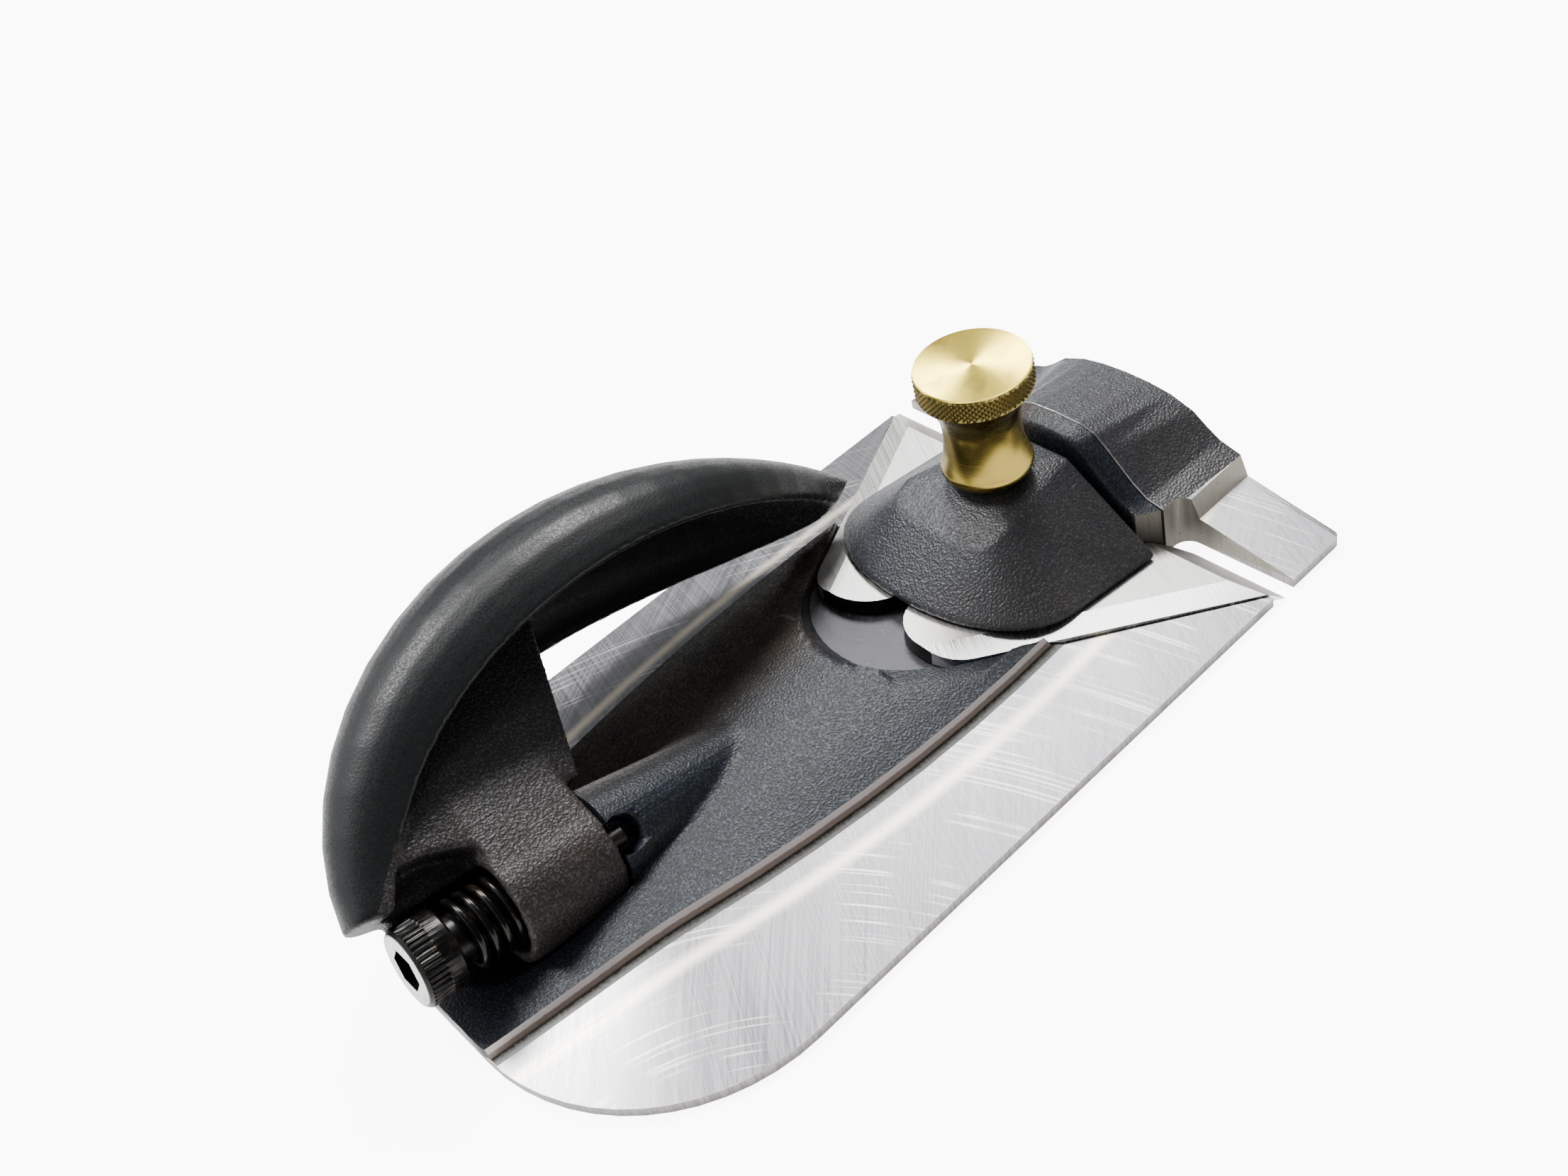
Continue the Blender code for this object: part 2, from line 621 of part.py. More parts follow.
def make_pivot_screw(pivot, steel):
    shoulder_end = BOSS_FRONT
    profile = [(0, SCREW_KEY_DEPTH), (SCREW_KEY_RADIUS, SCREW_KEY_DEPTH), (SCREW_KEY_RADIUS, 0),
               (SCREW_HEAD_RADIUS - HEAD_CHAMFER, 0), (SCREW_HEAD_RADIUS, HEAD_CHAMFER),
               (SCREW_HEAD_RADIUS, SCREW_HEAD_LENGTH), (SCREW_SHOULDER_RADIUS, SCREW_HEAD_LENGTH),
               (SCREW_SHOULDER_RADIUS, shoulder_end), (SCREW_THREAD_RADIUS, shoulder_end),
               (SCREW_THREAD_RADIUS, SCREW_LENGTH), (0, SCREW_LENGTH)]
    screw = make_object("pivot_screw", revolve(profile, "X"), pivot, steel)
    smooth(screw)
    return screw


def grip_half_width(share):
    swell = math.sin(math.pi * share ** GRIP_SWELL_POWER) ** GRIP_TIP_POWER
    return GRIP_REAR_HALF_WIDTH * (1 - share) + GRIP_SWELL * swell


def grip_frame(share):
    # Edge point, unit direction from the edge to the crown, and the crown's height over the edge
    edge = bezier(EDGE_CURVE, share)
    rise = bezier(CROWN_CURVE, share) - edge
    return edge, rise.normalized(), rise.length


def grip_ring(share):
    # Half-round crown on a narrow upright band, with a hollow underside between two lips
    edge, outward, height = grip_frame(share)
    width = grip_half_width(share)
    lip = min(GRIP_LIP, width / 2)
    low = edge - outward * GRIP_BAND
    hollow = max(height + GRIP_BAND - GRIP_CROWN_WALL, FIT_GAP)
    angles = [math.pi * i / GRIP_ARC_STEPS for i in range(GRIP_ARC_STEPS + 1)]
    places = [(low, width)]
    places += [(edge + outward * height * math.sin(a), width * math.cos(a)) for a in angles]
    places += [(low, -width)]
    places += [(low + outward * hollow * math.sin(a), (width - lip) * math.cos(a)) for a in reversed(angles)]
    return [(place.x, y, place.y) for place, y in places]


def web_outline():
    # Web in the handle's mid-plane, from the boss up into the crown of the grip
    start, end = WEB_SPAN
    outline = []
    for i in range(WEB_STATIONS + 1):
        edge, outward, height = grip_frame(start + (end - start) * i / WEB_STATIONS)
        outline.append(tuple(edge + outward * (height - GRIP_CROWN_WALL / 2)))
    front = BOSS_FRONT - WEB_SETBACK
    rear = BOSS_REAR + WEB_SETBACK
    over_ridge = RIDGE_RADIUS + 2 * FIT_GAP
    outline += [(WEB_FRONT_FOOT, over_ridge), (front, over_ridge), (front, BOSS_RADIUS / 2)]
    outline += [(rear, BOSS_RADIUS / 2), (rear, BOSS_RADIUS)]
    return outline + list(WEB_HEEL)


def web_half_thickness(radius):
    share = min(max((radius - BOSS_RADIUS) / (2 * BOSS_RADIUS), 0), 1)
    return WEB_ROOT_HALF_THICKNESS + (WEB_HALF_THICKNESS - WEB_ROOT_HALF_THICKNESS) * share


def shroud_shape():
    # Wall on the far side of the screw and spring, from the web round under the axis
    top = WEB_HEEL[-1][1] + FIT_GAP
    wall = web_half_thickness(top) - FIT_GAP
    outline = [(-FIT_GAP, 0), (-FIT_GAP, top), (wall, top)]
    start = math.acos(wall / BOSS_RADIUS)
    outline += arc((0, 0), BOSS_RADIUS, start, math.pi / 2 - SHROUD_TURN, ROUND_SIDES // 2)
    return section_prism(outline, SHROUD_REAR, BOSS_REAR + WEB_SETBACK)


def make_handle(pivot, black):
    shares = [GRIP_TIP_SHARE * math.sin(math.pi / 2 * i / GRIP_STATIONS) for i in range(GRIP_STATIONS + 1)]
    handle = make_object("handle", loft([grip_ring(share) for share in shares]), pivot, black)
    handle.rotation_euler.x = -HANDLE_LEAN

    outline = web_outline()
    rings = [[(x, side * web_half_thickness(z), z) for x, z in outline] for side in (-1, 1)]
    web = make_object("handle_web", loft(rings), handle)
    boss = make_object("handle_boss", rod(BOSS_RADIUS, BOSS_REAR, BOSS_FRONT), handle)
    join(handle, web, boss, make_object("handle_shroud", shroud_shape(), handle))

    bore_radius = SCREW_SHOULDER_RADIUS + FIT_GAP
    spring_floor = BOSS_REAR + COUNTERBORE_DEPTH
    bore_end = BOSS_FRONT + FIT_GAP
    profile = ((0, 0), (COUNTERBORE_RADIUS, 0), (COUNTERBORE_RADIUS, spring_floor),
               (bore_radius, spring_floor), (bore_radius, bore_end), (0, bore_end))
    seat = rod(PIN_RADIUS + FIT_GAP / 2, BOSS_FRONT - PIN_SEAT - FIT_GAP, BOSS_FRONT + PIN_REACH)
    place_pin(seat)
    cut(handle, make_object("stepped_bore", revolve(profile, "X"), handle),
        make_object("pin_seat", seat, handle))
    smooth(handle)
    return handle


def place_pin(shape):
    # Moves a rod on the pivot axis to the pin's place in the handle's own frame
    turn = HANDLE_LEAN - PIN_ANGLE
    place = (0, -PIN_ORBIT * math.sin(turn), PIN_ORBIT * math.cos(turn))
    bmesh.ops.translate(shape, verts=shape.verts, vec=place)


def make_handle_pin(handle, steel):
    shape = rod(PIN_RADIUS, BOSS_FRONT - PIN_SEAT, BOSS_FRONT + PIN_REACH)
    place_pin(shape)
    pin = make_object("handle_pin", shape, handle, steel)
    smooth(pin)
    return pin


def make_spring(pivot, steel):
    # One unbroken helix from the screw head to the bottom of the counterbore; its ends run straight
    seat = SCREW_HEAD_LENGTH + FIT_GAP
    floor = BOSS_REAR + COUNTERBORE_DEPTH - FIT_GAP
    start = seat + 2 * SPRING_WIRE_RADIUS
    end = floor - 2 * SPRING_WIRE_RADIUS
    steps = SPRING_TURNS * SPRING_POINTS_PER_TURN
    points = [Vector((seat, 0, -SPRING_RADIUS))]
    for i in range(steps + 1):
        angle = math.tau * i / SPRING_POINTS_PER_TURN
        points.append(Vector((start + (end - start) * i / steps, SPRING_RADIUS * math.sin(angle),
                              -SPRING_RADIUS * math.cos(angle))))
    points.append(Vector((floor, points[-1].y, points[-1].z)))
    curve = bpy.data.curves.new("handle_spring", "CURVE")
    curve.dimensions = "3D"
    curve.bevel_depth = SPRING_WIRE_RADIUS
    curve.bevel_resolution = 1
    curve.use_fill_caps = True
    spline = curve.splines.new("POLY")
    spline.points.add(len(points) - 1)
    for target, point in zip(spline.points, points):
        target.co = (*point, 1)
    spring = bpy.data.objects.new("handle_spring", curve)
    bpy.context.collection.objects.link(spring)
    spring.parent = pivot
    curve.materials.append(steel)
    half_turn = SPRING_POINTS_PER_TURN // 2
    pairs = [(a, b) for i, a in enumerate(points) for b in points[i + half_turn:]]
    gap = min((a - b).length for a, b in pairs)
    print(f"spring: least gap to itself {(gap - 2 * SPRING_WIRE_RADIUS) * 1000:.2f} mm")
    return spring


def main():
    for item in list(bpy.data.objects):
        bpy.data.objects.remove(item)
    black = make_material("black enamel", BLACK_ENAMEL, 0.0, 0.45)
    wing = make_material("ground steel", GROUND_STEEL, 1.0, 0.38)
    blade = make_material("tool steel", TOOL_STEEL, 1.0, 0.3)
    brass = make_material("brass", BRASS, 1.0, 0.28)
    oxide = make_material("black oxide steel", BLACK_OXIDE, 0.6, 0.35)

    frame = make_empty("plane_frame", (-FRAME_X, 0, 0), (0, 0, 0))
    pivot = make_empty("pivot_axis", (PIVOT_X, 0, PIVOT_Z), (0, PIVOT_TILT, 0), frame)
    bed = make_empty("blade_bed", (EDGE_X, 0, 0), (0, BED_ANGLE, 0), frame)

    make_body(frame, pivot, black)
    make_nose(frame, wing)
    make_nose_screw(frame, oxide)
    make_blade(1, "blade_left", bed, blade)
    make_blade(-1, "blade_right", bed, blade)
    make_lever_cap(frame, black)
    make_knob(frame, brass)
    make_pivot_screw(pivot, oxide)
    handle = make_handle(pivot, black)
    make_handle_pin(handle, oxide)
    make_spring(pivot, oxide)


main()
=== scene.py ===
import bmesh
import bpy
import math
from mathutils import Matrix, Vector


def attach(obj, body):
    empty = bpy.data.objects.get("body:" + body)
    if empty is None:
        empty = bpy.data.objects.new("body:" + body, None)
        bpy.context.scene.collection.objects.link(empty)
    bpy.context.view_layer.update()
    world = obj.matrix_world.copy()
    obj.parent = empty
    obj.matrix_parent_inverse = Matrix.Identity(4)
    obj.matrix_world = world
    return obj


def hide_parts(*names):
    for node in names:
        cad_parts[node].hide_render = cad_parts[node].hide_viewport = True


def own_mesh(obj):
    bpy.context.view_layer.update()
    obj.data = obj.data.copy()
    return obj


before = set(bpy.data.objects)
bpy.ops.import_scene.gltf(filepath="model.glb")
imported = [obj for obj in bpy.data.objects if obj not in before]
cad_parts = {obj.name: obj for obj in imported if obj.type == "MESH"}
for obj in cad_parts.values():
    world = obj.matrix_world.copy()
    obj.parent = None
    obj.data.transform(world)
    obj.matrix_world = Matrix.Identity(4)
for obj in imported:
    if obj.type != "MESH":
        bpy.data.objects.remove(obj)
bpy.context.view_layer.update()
print("frame loaded,", len(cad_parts), "nodes")

mm = 0.001

# Sizes of the body in mm, with places along it counted from its rear end at x = -rear
bodyPlan = {
    "rear": 70, "halfWidth": 38.3, "rearRadius": 29.9, "rim": 1.6, "slope": math.radians(12),
    "stepHalfWidth": 21.5, "stepWidest": 80, "stepArc": 257.5, "stepReach": 2, "bulkhead": 116.9, "hump": 7.5,
    "bladeTip": 38.7, "bladeEdge": 122.6, "bladeSlope": 0.583, "sideGap": 0.46, "channelStart": 77.04,
    "pocketRear": 72, "pocketCentre": 84.39, "pocketRadius": 14.59, "troughEnd": 29, "troughRadius": 8.9,
}

# Places in mm that several pieces share: the handle's tilted pivot and the knob's upright stud
pivot = {"x": -71.3, "z": 14.1, "tilt": math.radians(10)}
studX = 35.8


# Shader steps

def hexColour(code):
    # sRGB hex to the linear values that a shader reads
    channels = [int(code[i:i + 2], 16) / 255 for i in (1, 3, 5)]
    return [c / 12.92 if c <= 0.04045 else ((c + 0.055) / 1.055) ** 2.4 for c in channels] + [1]


def setInputs(tree, node, inputs):
    # A socket is linked, and any other value is set on the node's own socket
    for name, value in inputs.items():
        if isinstance(value, bpy.types.NodeSocket):
            tree.links.new(value, node.inputs[name])
        else:
            node.inputs[name].default_value = value


def addNode(tree, kind, inputs=None, **settings):
    node = tree.nodes.new(kind)
    for name, value in settings.items():
        setattr(node, name, value)
    setInputs(tree, node, inputs or {})
    return node


def addMath(tree, operation, *values):
    return addNode(tree, "ShaderNodeMath", dict(enumerate(values)), operation=operation).outputs[0]


def addVectorMath(tree, operation, *values):
    return addNode(tree, "ShaderNodeVectorMath", dict(enumerate(values)), operation=operation)


def addNoise(tree, place, size, detail):
    # Noise with spots about as wide as size, in mm
    inputs = {"Vector": place, "Scale": 1 / (size * mm), "Detail": detail}
    return addNode(tree, "ShaderNodeTexNoise", inputs).outputs["Fac"]


def addRange(tree, value, start, stop, first=0, last=1, way="LINEAR"):
    inputs = {"Value": value, "From Min": start, "From Max": stop, "To Min": first, "To Max": last}
    return addNode(tree, "ShaderNodeMapRange", inputs, interpolation_type=way).outputs[0]


def addRamp(tree, value, *stops):
    # Each stop is a place and either a grey level or a colour
    node = addNode(tree, "ShaderNodeValToRGB", {"Fac": value})
    elements = node.color_ramp.elements
    while len(elements) < len(stops):
        elements.new(0.5)
    for element, (place, colour) in zip(elements, stops):
        element.position = place
        element.color = colour if isinstance(colour, list) else (colour, colour, colour, 1)
    return node.outputs["Color"]


def addMix(tree, share, first, second):
    inputs = {"Factor": share, "A": first, "B": second}
    return addNode(tree, "ShaderNodeMix", inputs, data_type="RGBA").outputs["Result"]


def addBump(tree, height, strength, depth):
    inputs = {"Height": height, "Strength": strength, "Distance": depth * mm}
    return addNode(tree, "ShaderNodeBump", inputs).outputs["Normal"]


def newMaterial(name):
    material = bpy.data.materials.new(name)
    material.use_nodes = True
    tree = material.node_tree
    return material, tree, tree.nodes["Principled BSDF"]


def objectPlace(tree):
    return addNode(tree, "ShaderNodeTexCoord").outputs["Object"]


# Materials

# Most values of a noise lie in this span
noiseSpan = (0.3, 0.7)

# cool and warm colour the enamel's painted glints on its two sides
enamelLook = {
    "coolGlint": "#5d687c", "warm": "#8a7c6e", "dust": "#43392f", "wear": "#b4b3ae", "fine": 0.30,
    "dustPatch": 5.0, "coarseShare": 0.6, "fineShare": 0.4, "fleckFrom": 0.48, "fleckFull": 0.66,
    "chipFrom": 0.42, "chipFull": 0.52, "roughest": 0.52, "smoothest": 0.32, "refraction": 1.5,
}


def bakedEnamel(name, colour, grain, warmSide, glintShare, depth, gloss, wornEdges=False):
    # Enamel baked on rough cast iron: a pebbled black skin whose grains carry painted glints, bluish as a
    # painted reflection of the sky on one side and brown on the other
    look = enamelLook
    material, tree, shader = newMaterial(name)
    place = objectPlace(tree)
    coarse = addNoise(tree, place, grain, 1)
    fine = addNoise(tree, place, look["fine"], 0)
    pebbles = addMath(tree, "MULTIPLY", coarse, look["coarseShare"])
    pebbles = addMath(tree, "MULTIPLY_ADD", fine, look["fineShare"], pebbles)
    across = addNode(tree, "ShaderNodeSeparateXYZ", {"Vector": place}).outputs["Y"]
    side = addRange(tree, across, warmSide[0] * mm, warmSide[1] * mm)
    dusty = addMath(tree, "MULTIPLY", addNoise(tree, place, look["dustPatch"], 3), side)
    skin = addMix(tree, dusty, hexColour(colour), hexColour(look["dust"]))
    # Flecks on the grains are painted glints
    point = addRamp(tree, pebbles, (look["fleckFrom"], 0), (look["fleckFull"], glintShare))
    # The painted glints run from bluish, a painted reflection of the sky, to brown across the piece, as
    # warmSide sets
    paintedGlint = addMix(tree, side, hexColour(look["coolGlint"]), hexColour(look["warm"]))
    skin = addMix(tree, point, skin, paintedGlint)
    if wornEdges:
        edge = addNode(tree, "ShaderNodeAttribute", attribute_name="edgeWear").outputs["Fac"]
        chips = addMath(tree, "MULTIPLY", pebbles, edge)
        chips = addRamp(tree, chips, (look["chipFrom"], 0), (look["chipFull"], 1))
        skin = addMix(tree, chips, skin, hexColour(look["wear"]))
        setInputs(tree, shader, {"Metallic": chips})
    rough = addRange(tree, coarse, *noiseSpan, look["roughest"], look["smoothest"])
    bump = addBump(tree, pebbles, depth, grain)
    setInputs(tree, shader, {"Base Color": skin, "Roughness": rough, "Normal": bump,
                             "IOR": look["refraction"], "Specular IOR Level": gloss})
    return material


def aboutPoint(tree, place, x, y):
    # The place counted from an upright axis, and its distance from that axis
    shift = addVectorMath(tree, "ADD", place, (-x * mm, -y * mm, 0)).outputs[0]
    flat = addVectorMath(tree, "MULTIPLY", shift, (1, 1, 0)).outputs[0]
    return shift, addVectorMath(tree, "LENGTH", flat).outputs["Value"]


def polarLines(tree, place, sweep, detail):
    # Noise drawn out along circles about one point, as a wheel or an abrasive sheet leaves it
    x, y, spacing, along = sweep
    shift, radius = aboutPoint(tree, place, x, y)
    parts = addNode(tree, "ShaderNodeSeparateXYZ", {"Vector": shift})
    turn = addMath(tree, "ARCTAN2", parts.outputs["Y"], parts.outputs["X"])
    run = addMath(tree, "MULTIPLY", turn, math.hypot(x, y) / along)
    rise = addMath(tree, "MULTIPLY", radius, 1 / (spacing * mm))
    polar = addNode(tree, "ShaderNodeCombineXYZ", {"X": rise, "Y": run}).outputs[0]
    inputs = {"Vector": polar, "Scale": 1.0, "Detail": detail}
    return addNode(tree, "ShaderNodeTexNoise", inputs, noise_dimensions="2D").outputs["Fac"]


# What all ground faces have in common: sizes in mm, the colour of the arcs, and shares
grinding = {
    "cloud": 12, "cloudShare": 0.25, "darkAt": 0.50, "lightAt": 0.72, "arc": "#ffffff", "arcFrom": 0.64,
    "arcFull": 0.72, "group": 9, "groupFrom": 0.42, "groupFull": 0.60, "bandPeak": 0.8, "bandRub": 0.5,
    "pitSize": 0.7, "pitFrom": 0.73, "pitFull": 0.78, "pitShare": 0.8, "depth": 0.05, "smoother": 0.05,
    "rougher": 0.08,
}

# A sweep is the x and y of its centre, the spacing of its lines and their length, in mm
# Lines of 0.1 mm would not show in the render, so most are drawn about 0.3 mm apart
# The band colour of the wing is a painted highlight beside the step
wingLook = {
    "light": "#a9a9ad", "dark": "#97979b", "roughness": 0.34, "bump": 0.02, "pit": "#9d958d",
    "sweeps": ((190, -275, 0.26, 40), (-330, 120, 0.30, 40)),
    "arcs": (-76, -73, 0.45, 90), "arcRoughness": 0.50, "arcShare": 0.45,
    "band": "#fff2de", "bandFrom": 4.8, "bandWidth": 1.6,
}
bladeLook = {
    "light": "#cfcdca", "dark": "#c3c1be", "roughness": 0.42, "bump": 0.01, "pit": "#9a928a",
    "sweeps": ((900, -500, 0.26, 40),),
}
# Honed steel, smoother than the blade's own steel and lighter in colour as a painted highlight
honedBrightLook = {
    "light": "#f2f2f1", "dark": "#e2e2e0", "roughness": 0.16, "bump": 0.04, "pit": "#d0cecb",
    "sweeps": ((900, -500, 0.30, 20),),
}
pocketLook = {
    "light": "#5c5c5f", "dark": "#505054", "roughness": 0.58, "bump": 0.03, "pit": "#a8845a",
    "sweeps": ((14.4, 0.01, 0.55, 6),),
}
rimLook = {
    "light": "#a39c9e", "dark": "#8b8486", "roughness": 0.42, "bump": 0.05, "pit": "#7a726c",
    "sweeps": ((190, -275, 0.4, 40),),
}
footLook = {
    "light": "#8f8b82", "dark": "#837f76", "roughness": 0.48, "bump": 0.01, "pit": "#6a5f55",
    "sweeps": ((900, -500, 0.3, 30),),
}
turnedLook = {
    "light": "#d6d5d3", "dark": "#aaa8a5", "roughness": 0.28, "bump": 0.08, "pit": "#8f8b85",
    "sweeps": ((-72, 0, 0.25, 8),),
}


def stepHighlight(tree, place, look):
    # Painted highlight in a soft band beside the step, where the wing's slope bends up towards it
    plan = bodyPlan
    parts = addNode(tree, "ShaderNodeSeparateXYZ", {"Vector": place})
    reach = addMath(tree, "ADD", parts.outputs["X"], (plan["rear"] - plan["stepWidest"]) * mm)
    drop = addMath(tree, "POWER", reach, 2)
    drop = addMath(tree, "MULTIPLY", drop, 1 / (2 * plan["stepArc"] * mm))
    past = addMath(tree, "ADD", addMath(tree, "ABSOLUTE", parts.outputs["Y"]), drop)
    middle = (plan["stepHalfWidth"] + look["bandFrom"]) * mm
    off = addMath(tree, "ABSOLUTE", addMath(tree, "SUBTRACT", past, middle))
    return addRange(tree, off, 0, look["bandWidth"] * mm, grinding["bandPeak"], 0, "SMOOTHSTEP")


def wheelArcs(tree, place, look, colour):
    # Long pale arcs in loose groups, and a painted highlight in a band beside the step; also says how rubbed
    # each spot is
    g = grinding
    arcs = addRamp(tree, polarLines(tree, place, look["arcs"], 0), (g["arcFrom"], 0), (g["arcFull"], 1))
    group = addNoise(tree, place, g["group"], 1)
    group = addRamp(tree, group, (g["groupFrom"], 0), (g["groupFull"], look["arcShare"]))
    arcs = addMath(tree, "MULTIPLY", arcs, group)
    colour = addMix(tree, arcs, colour, hexColour(g["arc"]))
    # A painted highlight in a band beside the step
    band = stepHighlight(tree, place, look)
    colour = addMix(tree, band, colour, hexColour(look["band"]))
    return colour, addMath(tree, "MULTIPLY_ADD", band, g["bandRub"], arcs)


def groundSteel(name, look):
    # Metal finished on a grinder and an abrasive sheet: fine lines over a soft grey, with small pits
    g = grinding
    material, tree, shader = newMaterial(name)
    place = objectPlace(tree)
    sweeps = [polarLines(tree, place, sweep, 2) for sweep in look["sweeps"]]
    level = sweeps[0]
    for lines in sweeps[1:]:
        level = addMath(tree, "ADD", level, lines)
    level = addMath(tree, "MULTIPLY", level, 1 / len(sweeps))
    tone = addMath(tree, "MULTIPLY_ADD", addNoise(tree, place, g["cloud"], 2), g["cloudShare"], level)
    colour = addRamp(tree, tone, (g["darkAt"], hexColour(look["dark"])),
                     (g["lightAt"], hexColour(look["light"])))
    rough = addRange(tree, level, *noiseSpan, look["roughness"] - g["smoother"],
                     look["roughness"] + g["rougher"])
    if "arcs" in look:
        colour, rubbed = wheelArcs(tree, place, look, colour)
        inputs = {"Factor": rubbed, "A": rough, "B": look["arcRoughness"]}
        rough = addNode(tree, "ShaderNodeMix", inputs).outputs[0]
    pits = addNoise(tree, place, g["pitSize"], 1)
    pits = addRamp(tree, pits, (g["pitFrom"], 0), (g["pitFull"], g["pitShare"]))
    colour = addMix(tree, pits, colour, hexColour(look["pit"]))
    bump = addBump(tree, level, look["bump"], g["depth"])
    setInputs(tree, shader, {"Base Color": colour, "Roughness": rough, "Normal": bump, "Metallic": 1.0})
    return material


# The wall's bands from its foot up: a bright line painted as a highlight on the foot's fillet, a dark band
# painted as shade in the corner, then brown iron and grey iron at the top
stepLook = {
    "bands": ((0.10, "#e8e6e0"), (0.24, "#4a443a"), (0.36, "#6e625c"), (0.58, "#6e625c"), (0.66, "#a79f9d")),
    "height": 2.3, "smear": 0.5, "smearShare": 0.10, "bump": 0.15, "depth": 0.05, "roughness": 0.4,
    "metal": 0.85,
}


def milledWall(name):
    # Wall left by the side of a milling cutter: a grey band over a brown one, painted shade in the corner
    # below them and a painted highlight line at its foot
    look = stepLook
    material, tree, shader = newMaterial(name)
    place = objectPlace(tree)
    rise = addNode(tree, "ShaderNodeAttribute", attribute_name="wallRise").outputs["Fac"]
    smear = addNoise(tree, place, look["smear"], 3)
    rise = addMath(tree, "MULTIPLY_ADD", smear, look["smearShare"], rise)
    colour = addRamp(tree, rise, *[(share, hexColour(code)) for share, code in look["bands"]])
    bump = addBump(tree, smear, look["bump"], look["depth"])
    setInputs(tree, shader, {"Base Color": colour, "Normal": bump, "Roughness": look["roughness"],
                             "Metallic": look["metal"]})
    return material


# The neck and knurl colours are darker than the top's as painted shade on their side-facing surfaces; the
# knurl's heavier tarnish is real
brassLook = {
    "light": "#efd55c", "neck": "#97833f", "knurl": "#7d7040", "dark": "#8a7444", "spun": 0.30, "stain": 3.5,
    "stainFrom": 0.50, "stainFull": 0.72, "depth": 0.04, "smoother": 0.02, "rougher": 0.03, "stretch": 0.85,
}


def spunBrass(name, base, roughness, tarnish, rings=0.03):
    # Turned brass: rings left by the lathe tool, with brown tarnish in patches
    look = brassLook
    material, tree, shader = newMaterial(name)
    place = objectPlace(tree)
    height = addNode(tree, "ShaderNodeSeparateXYZ", {"Vector": place}).outputs["Z"]
    reach = addMath(tree, "ADD", aboutPoint(tree, place, studX, 0)[1], height)
    count = addMath(tree, "MULTIPLY", reach, 1 / (look["spun"] * mm))
    inputs = {"W": count, "Scale": 1.0}
    turned = addNode(tree, "ShaderNodeTexNoise", inputs, noise_dimensions="1D").outputs["Fac"]
    stain = addNoise(tree, place, look["stain"], 4)
    stain = addRamp(tree, stain, (look["stainFrom"], 0), (look["stainFull"], tarnish))
    colour = addMix(tree, stain, hexColour(base), hexColour(look["dark"]))
    rough = addRange(tree, turned, *noiseSpan, roughness - look["smoother"], roughness + look["rougher"])
    bump = addBump(tree, turned, rings, look["depth"])
    setInputs(tree, shader, {"Base Color": colour, "Roughness": rough, "Normal": bump, "Metallic": 1.0,
                             "Anisotropic": look["stretch"]})
    return material


oxideLook = {
    "colour": "#161514", "rub": "#3f352c", "patch": 1.6, "rubFrom": 0.52, "rubFull": 0.78, "rubShare": 0.8,
    "smoother": 0.1, "rougher": 0.15, "metal": 0.7,
}


def blackOxide(name, roughness):
    # Hot-blacked steel: a thin dark skin with a low shine, rubbed brown in places
    look = oxideLook
    material, tree, shader = newMaterial(name)
    place = objectPlace(tree)
    patch = addNoise(tree, place, look["patch"], 4)
    rubbed = addRamp(tree, patch, (look["rubFrom"], 0), (look["rubFull"], look["rubShare"]))
    colour = addMix(tree, rubbed, hexColour(look["colour"]), hexColour(look["rub"]))
    rough = addRange(tree, patch, 0, 1, roughness - look["smoother"], roughness + look["rougher"])
    setInputs(tree, shader, {"Base Color": colour, "Roughness": rough, "Metallic": look["metal"]})
    return material


bodyEnamel = bakedEnamel("baked enamel on the body", "#15181c", grain=0.36, warmSide=(-1, 6), glintShare=0.20,
                         depth=0.36, gloss=0.22)
palmEnamel = bakedEnamel("baked enamel on the palm", "#121313", grain=0.34, warmSide=(40, 90), glintShare=0.06,
                         depth=0.12, gloss=0.28, wornEdges=True)
webEnamel = bakedEnamel("baked enamel on the web", "#1f1f20", grain=0.46, warmSide=(30, -30), glintShare=0.28,
                        depth=0.55, gloss=0.25)
capEnamel = bakedEnamel("baked enamel on the cap", "#24262a", grain=0.40, warmSide=(10, -60), glintShare=0.20,
                        depth=0.60, gloss=0.4)
wingSteel = groundSteel("ground cast iron", wingLook)
stepIron = milledWall("milled cast iron")
pocketIron = groundSteel("end-milled cast iron", pocketLook)
rimIron = groundSteel("milled cast iron rim", rimLook)
footIron = groundSteel("milled cast iron foot", footLook)
bladeSteel = groundSteel("ground tool steel", bladeLook)
brightBevelSteel = groundSteel("honed tool steel, painted bright", honedBrightLook)
endSteel = groundSteel("turned steel end", turnedLook)
brass = spunBrass("spun brass", brassLook["light"], roughness=0.24, tarnish=0.5)
# The neck and knurl get darker copies of the brass, painted shade
neckBrassShaded = spunBrass("turned brass", brassLook["neck"], roughness=0.25, tarnish=0.4, rings=0)
knurledBrassShaded = spunBrass("knurled brass", brassLook["knurl"], roughness=0.34, tarnish=0.9, rings=0)
oxide = blackOxide("black oxide steel", roughness=0.28)
browned = blackOxide("browned tool steel", roughness=0.40)
wire = blackOxide("black spring wire", roughness=0.18)
print("materials made")


# Shared mesh steps

# Tolerances in mm: what counts as one point, as one size, and as beside a limit
weld = {"node": 0.002, "spun": 0.001}
hairline = 0.01
slack = 0.1

# Parts of a face's direction that tell walls, slopes and ends apart
facing = {"wall": 0.5, "foot": 0.8, "slope": 0.85, "end": 0.9}

# Edges of the flat finishes stay sharp from this angle on
flatAngle = 4


def addObject(name, data):
    holder = bpy.data.objects.new(name, data)
    bpy.context.scene.collection.objects.link(holder)
    return holder


def toMesh(shape, name):
    mesh = bpy.data.meshes.new(name)
    shape.to_mesh(mesh)
    shape.free()
    return mesh


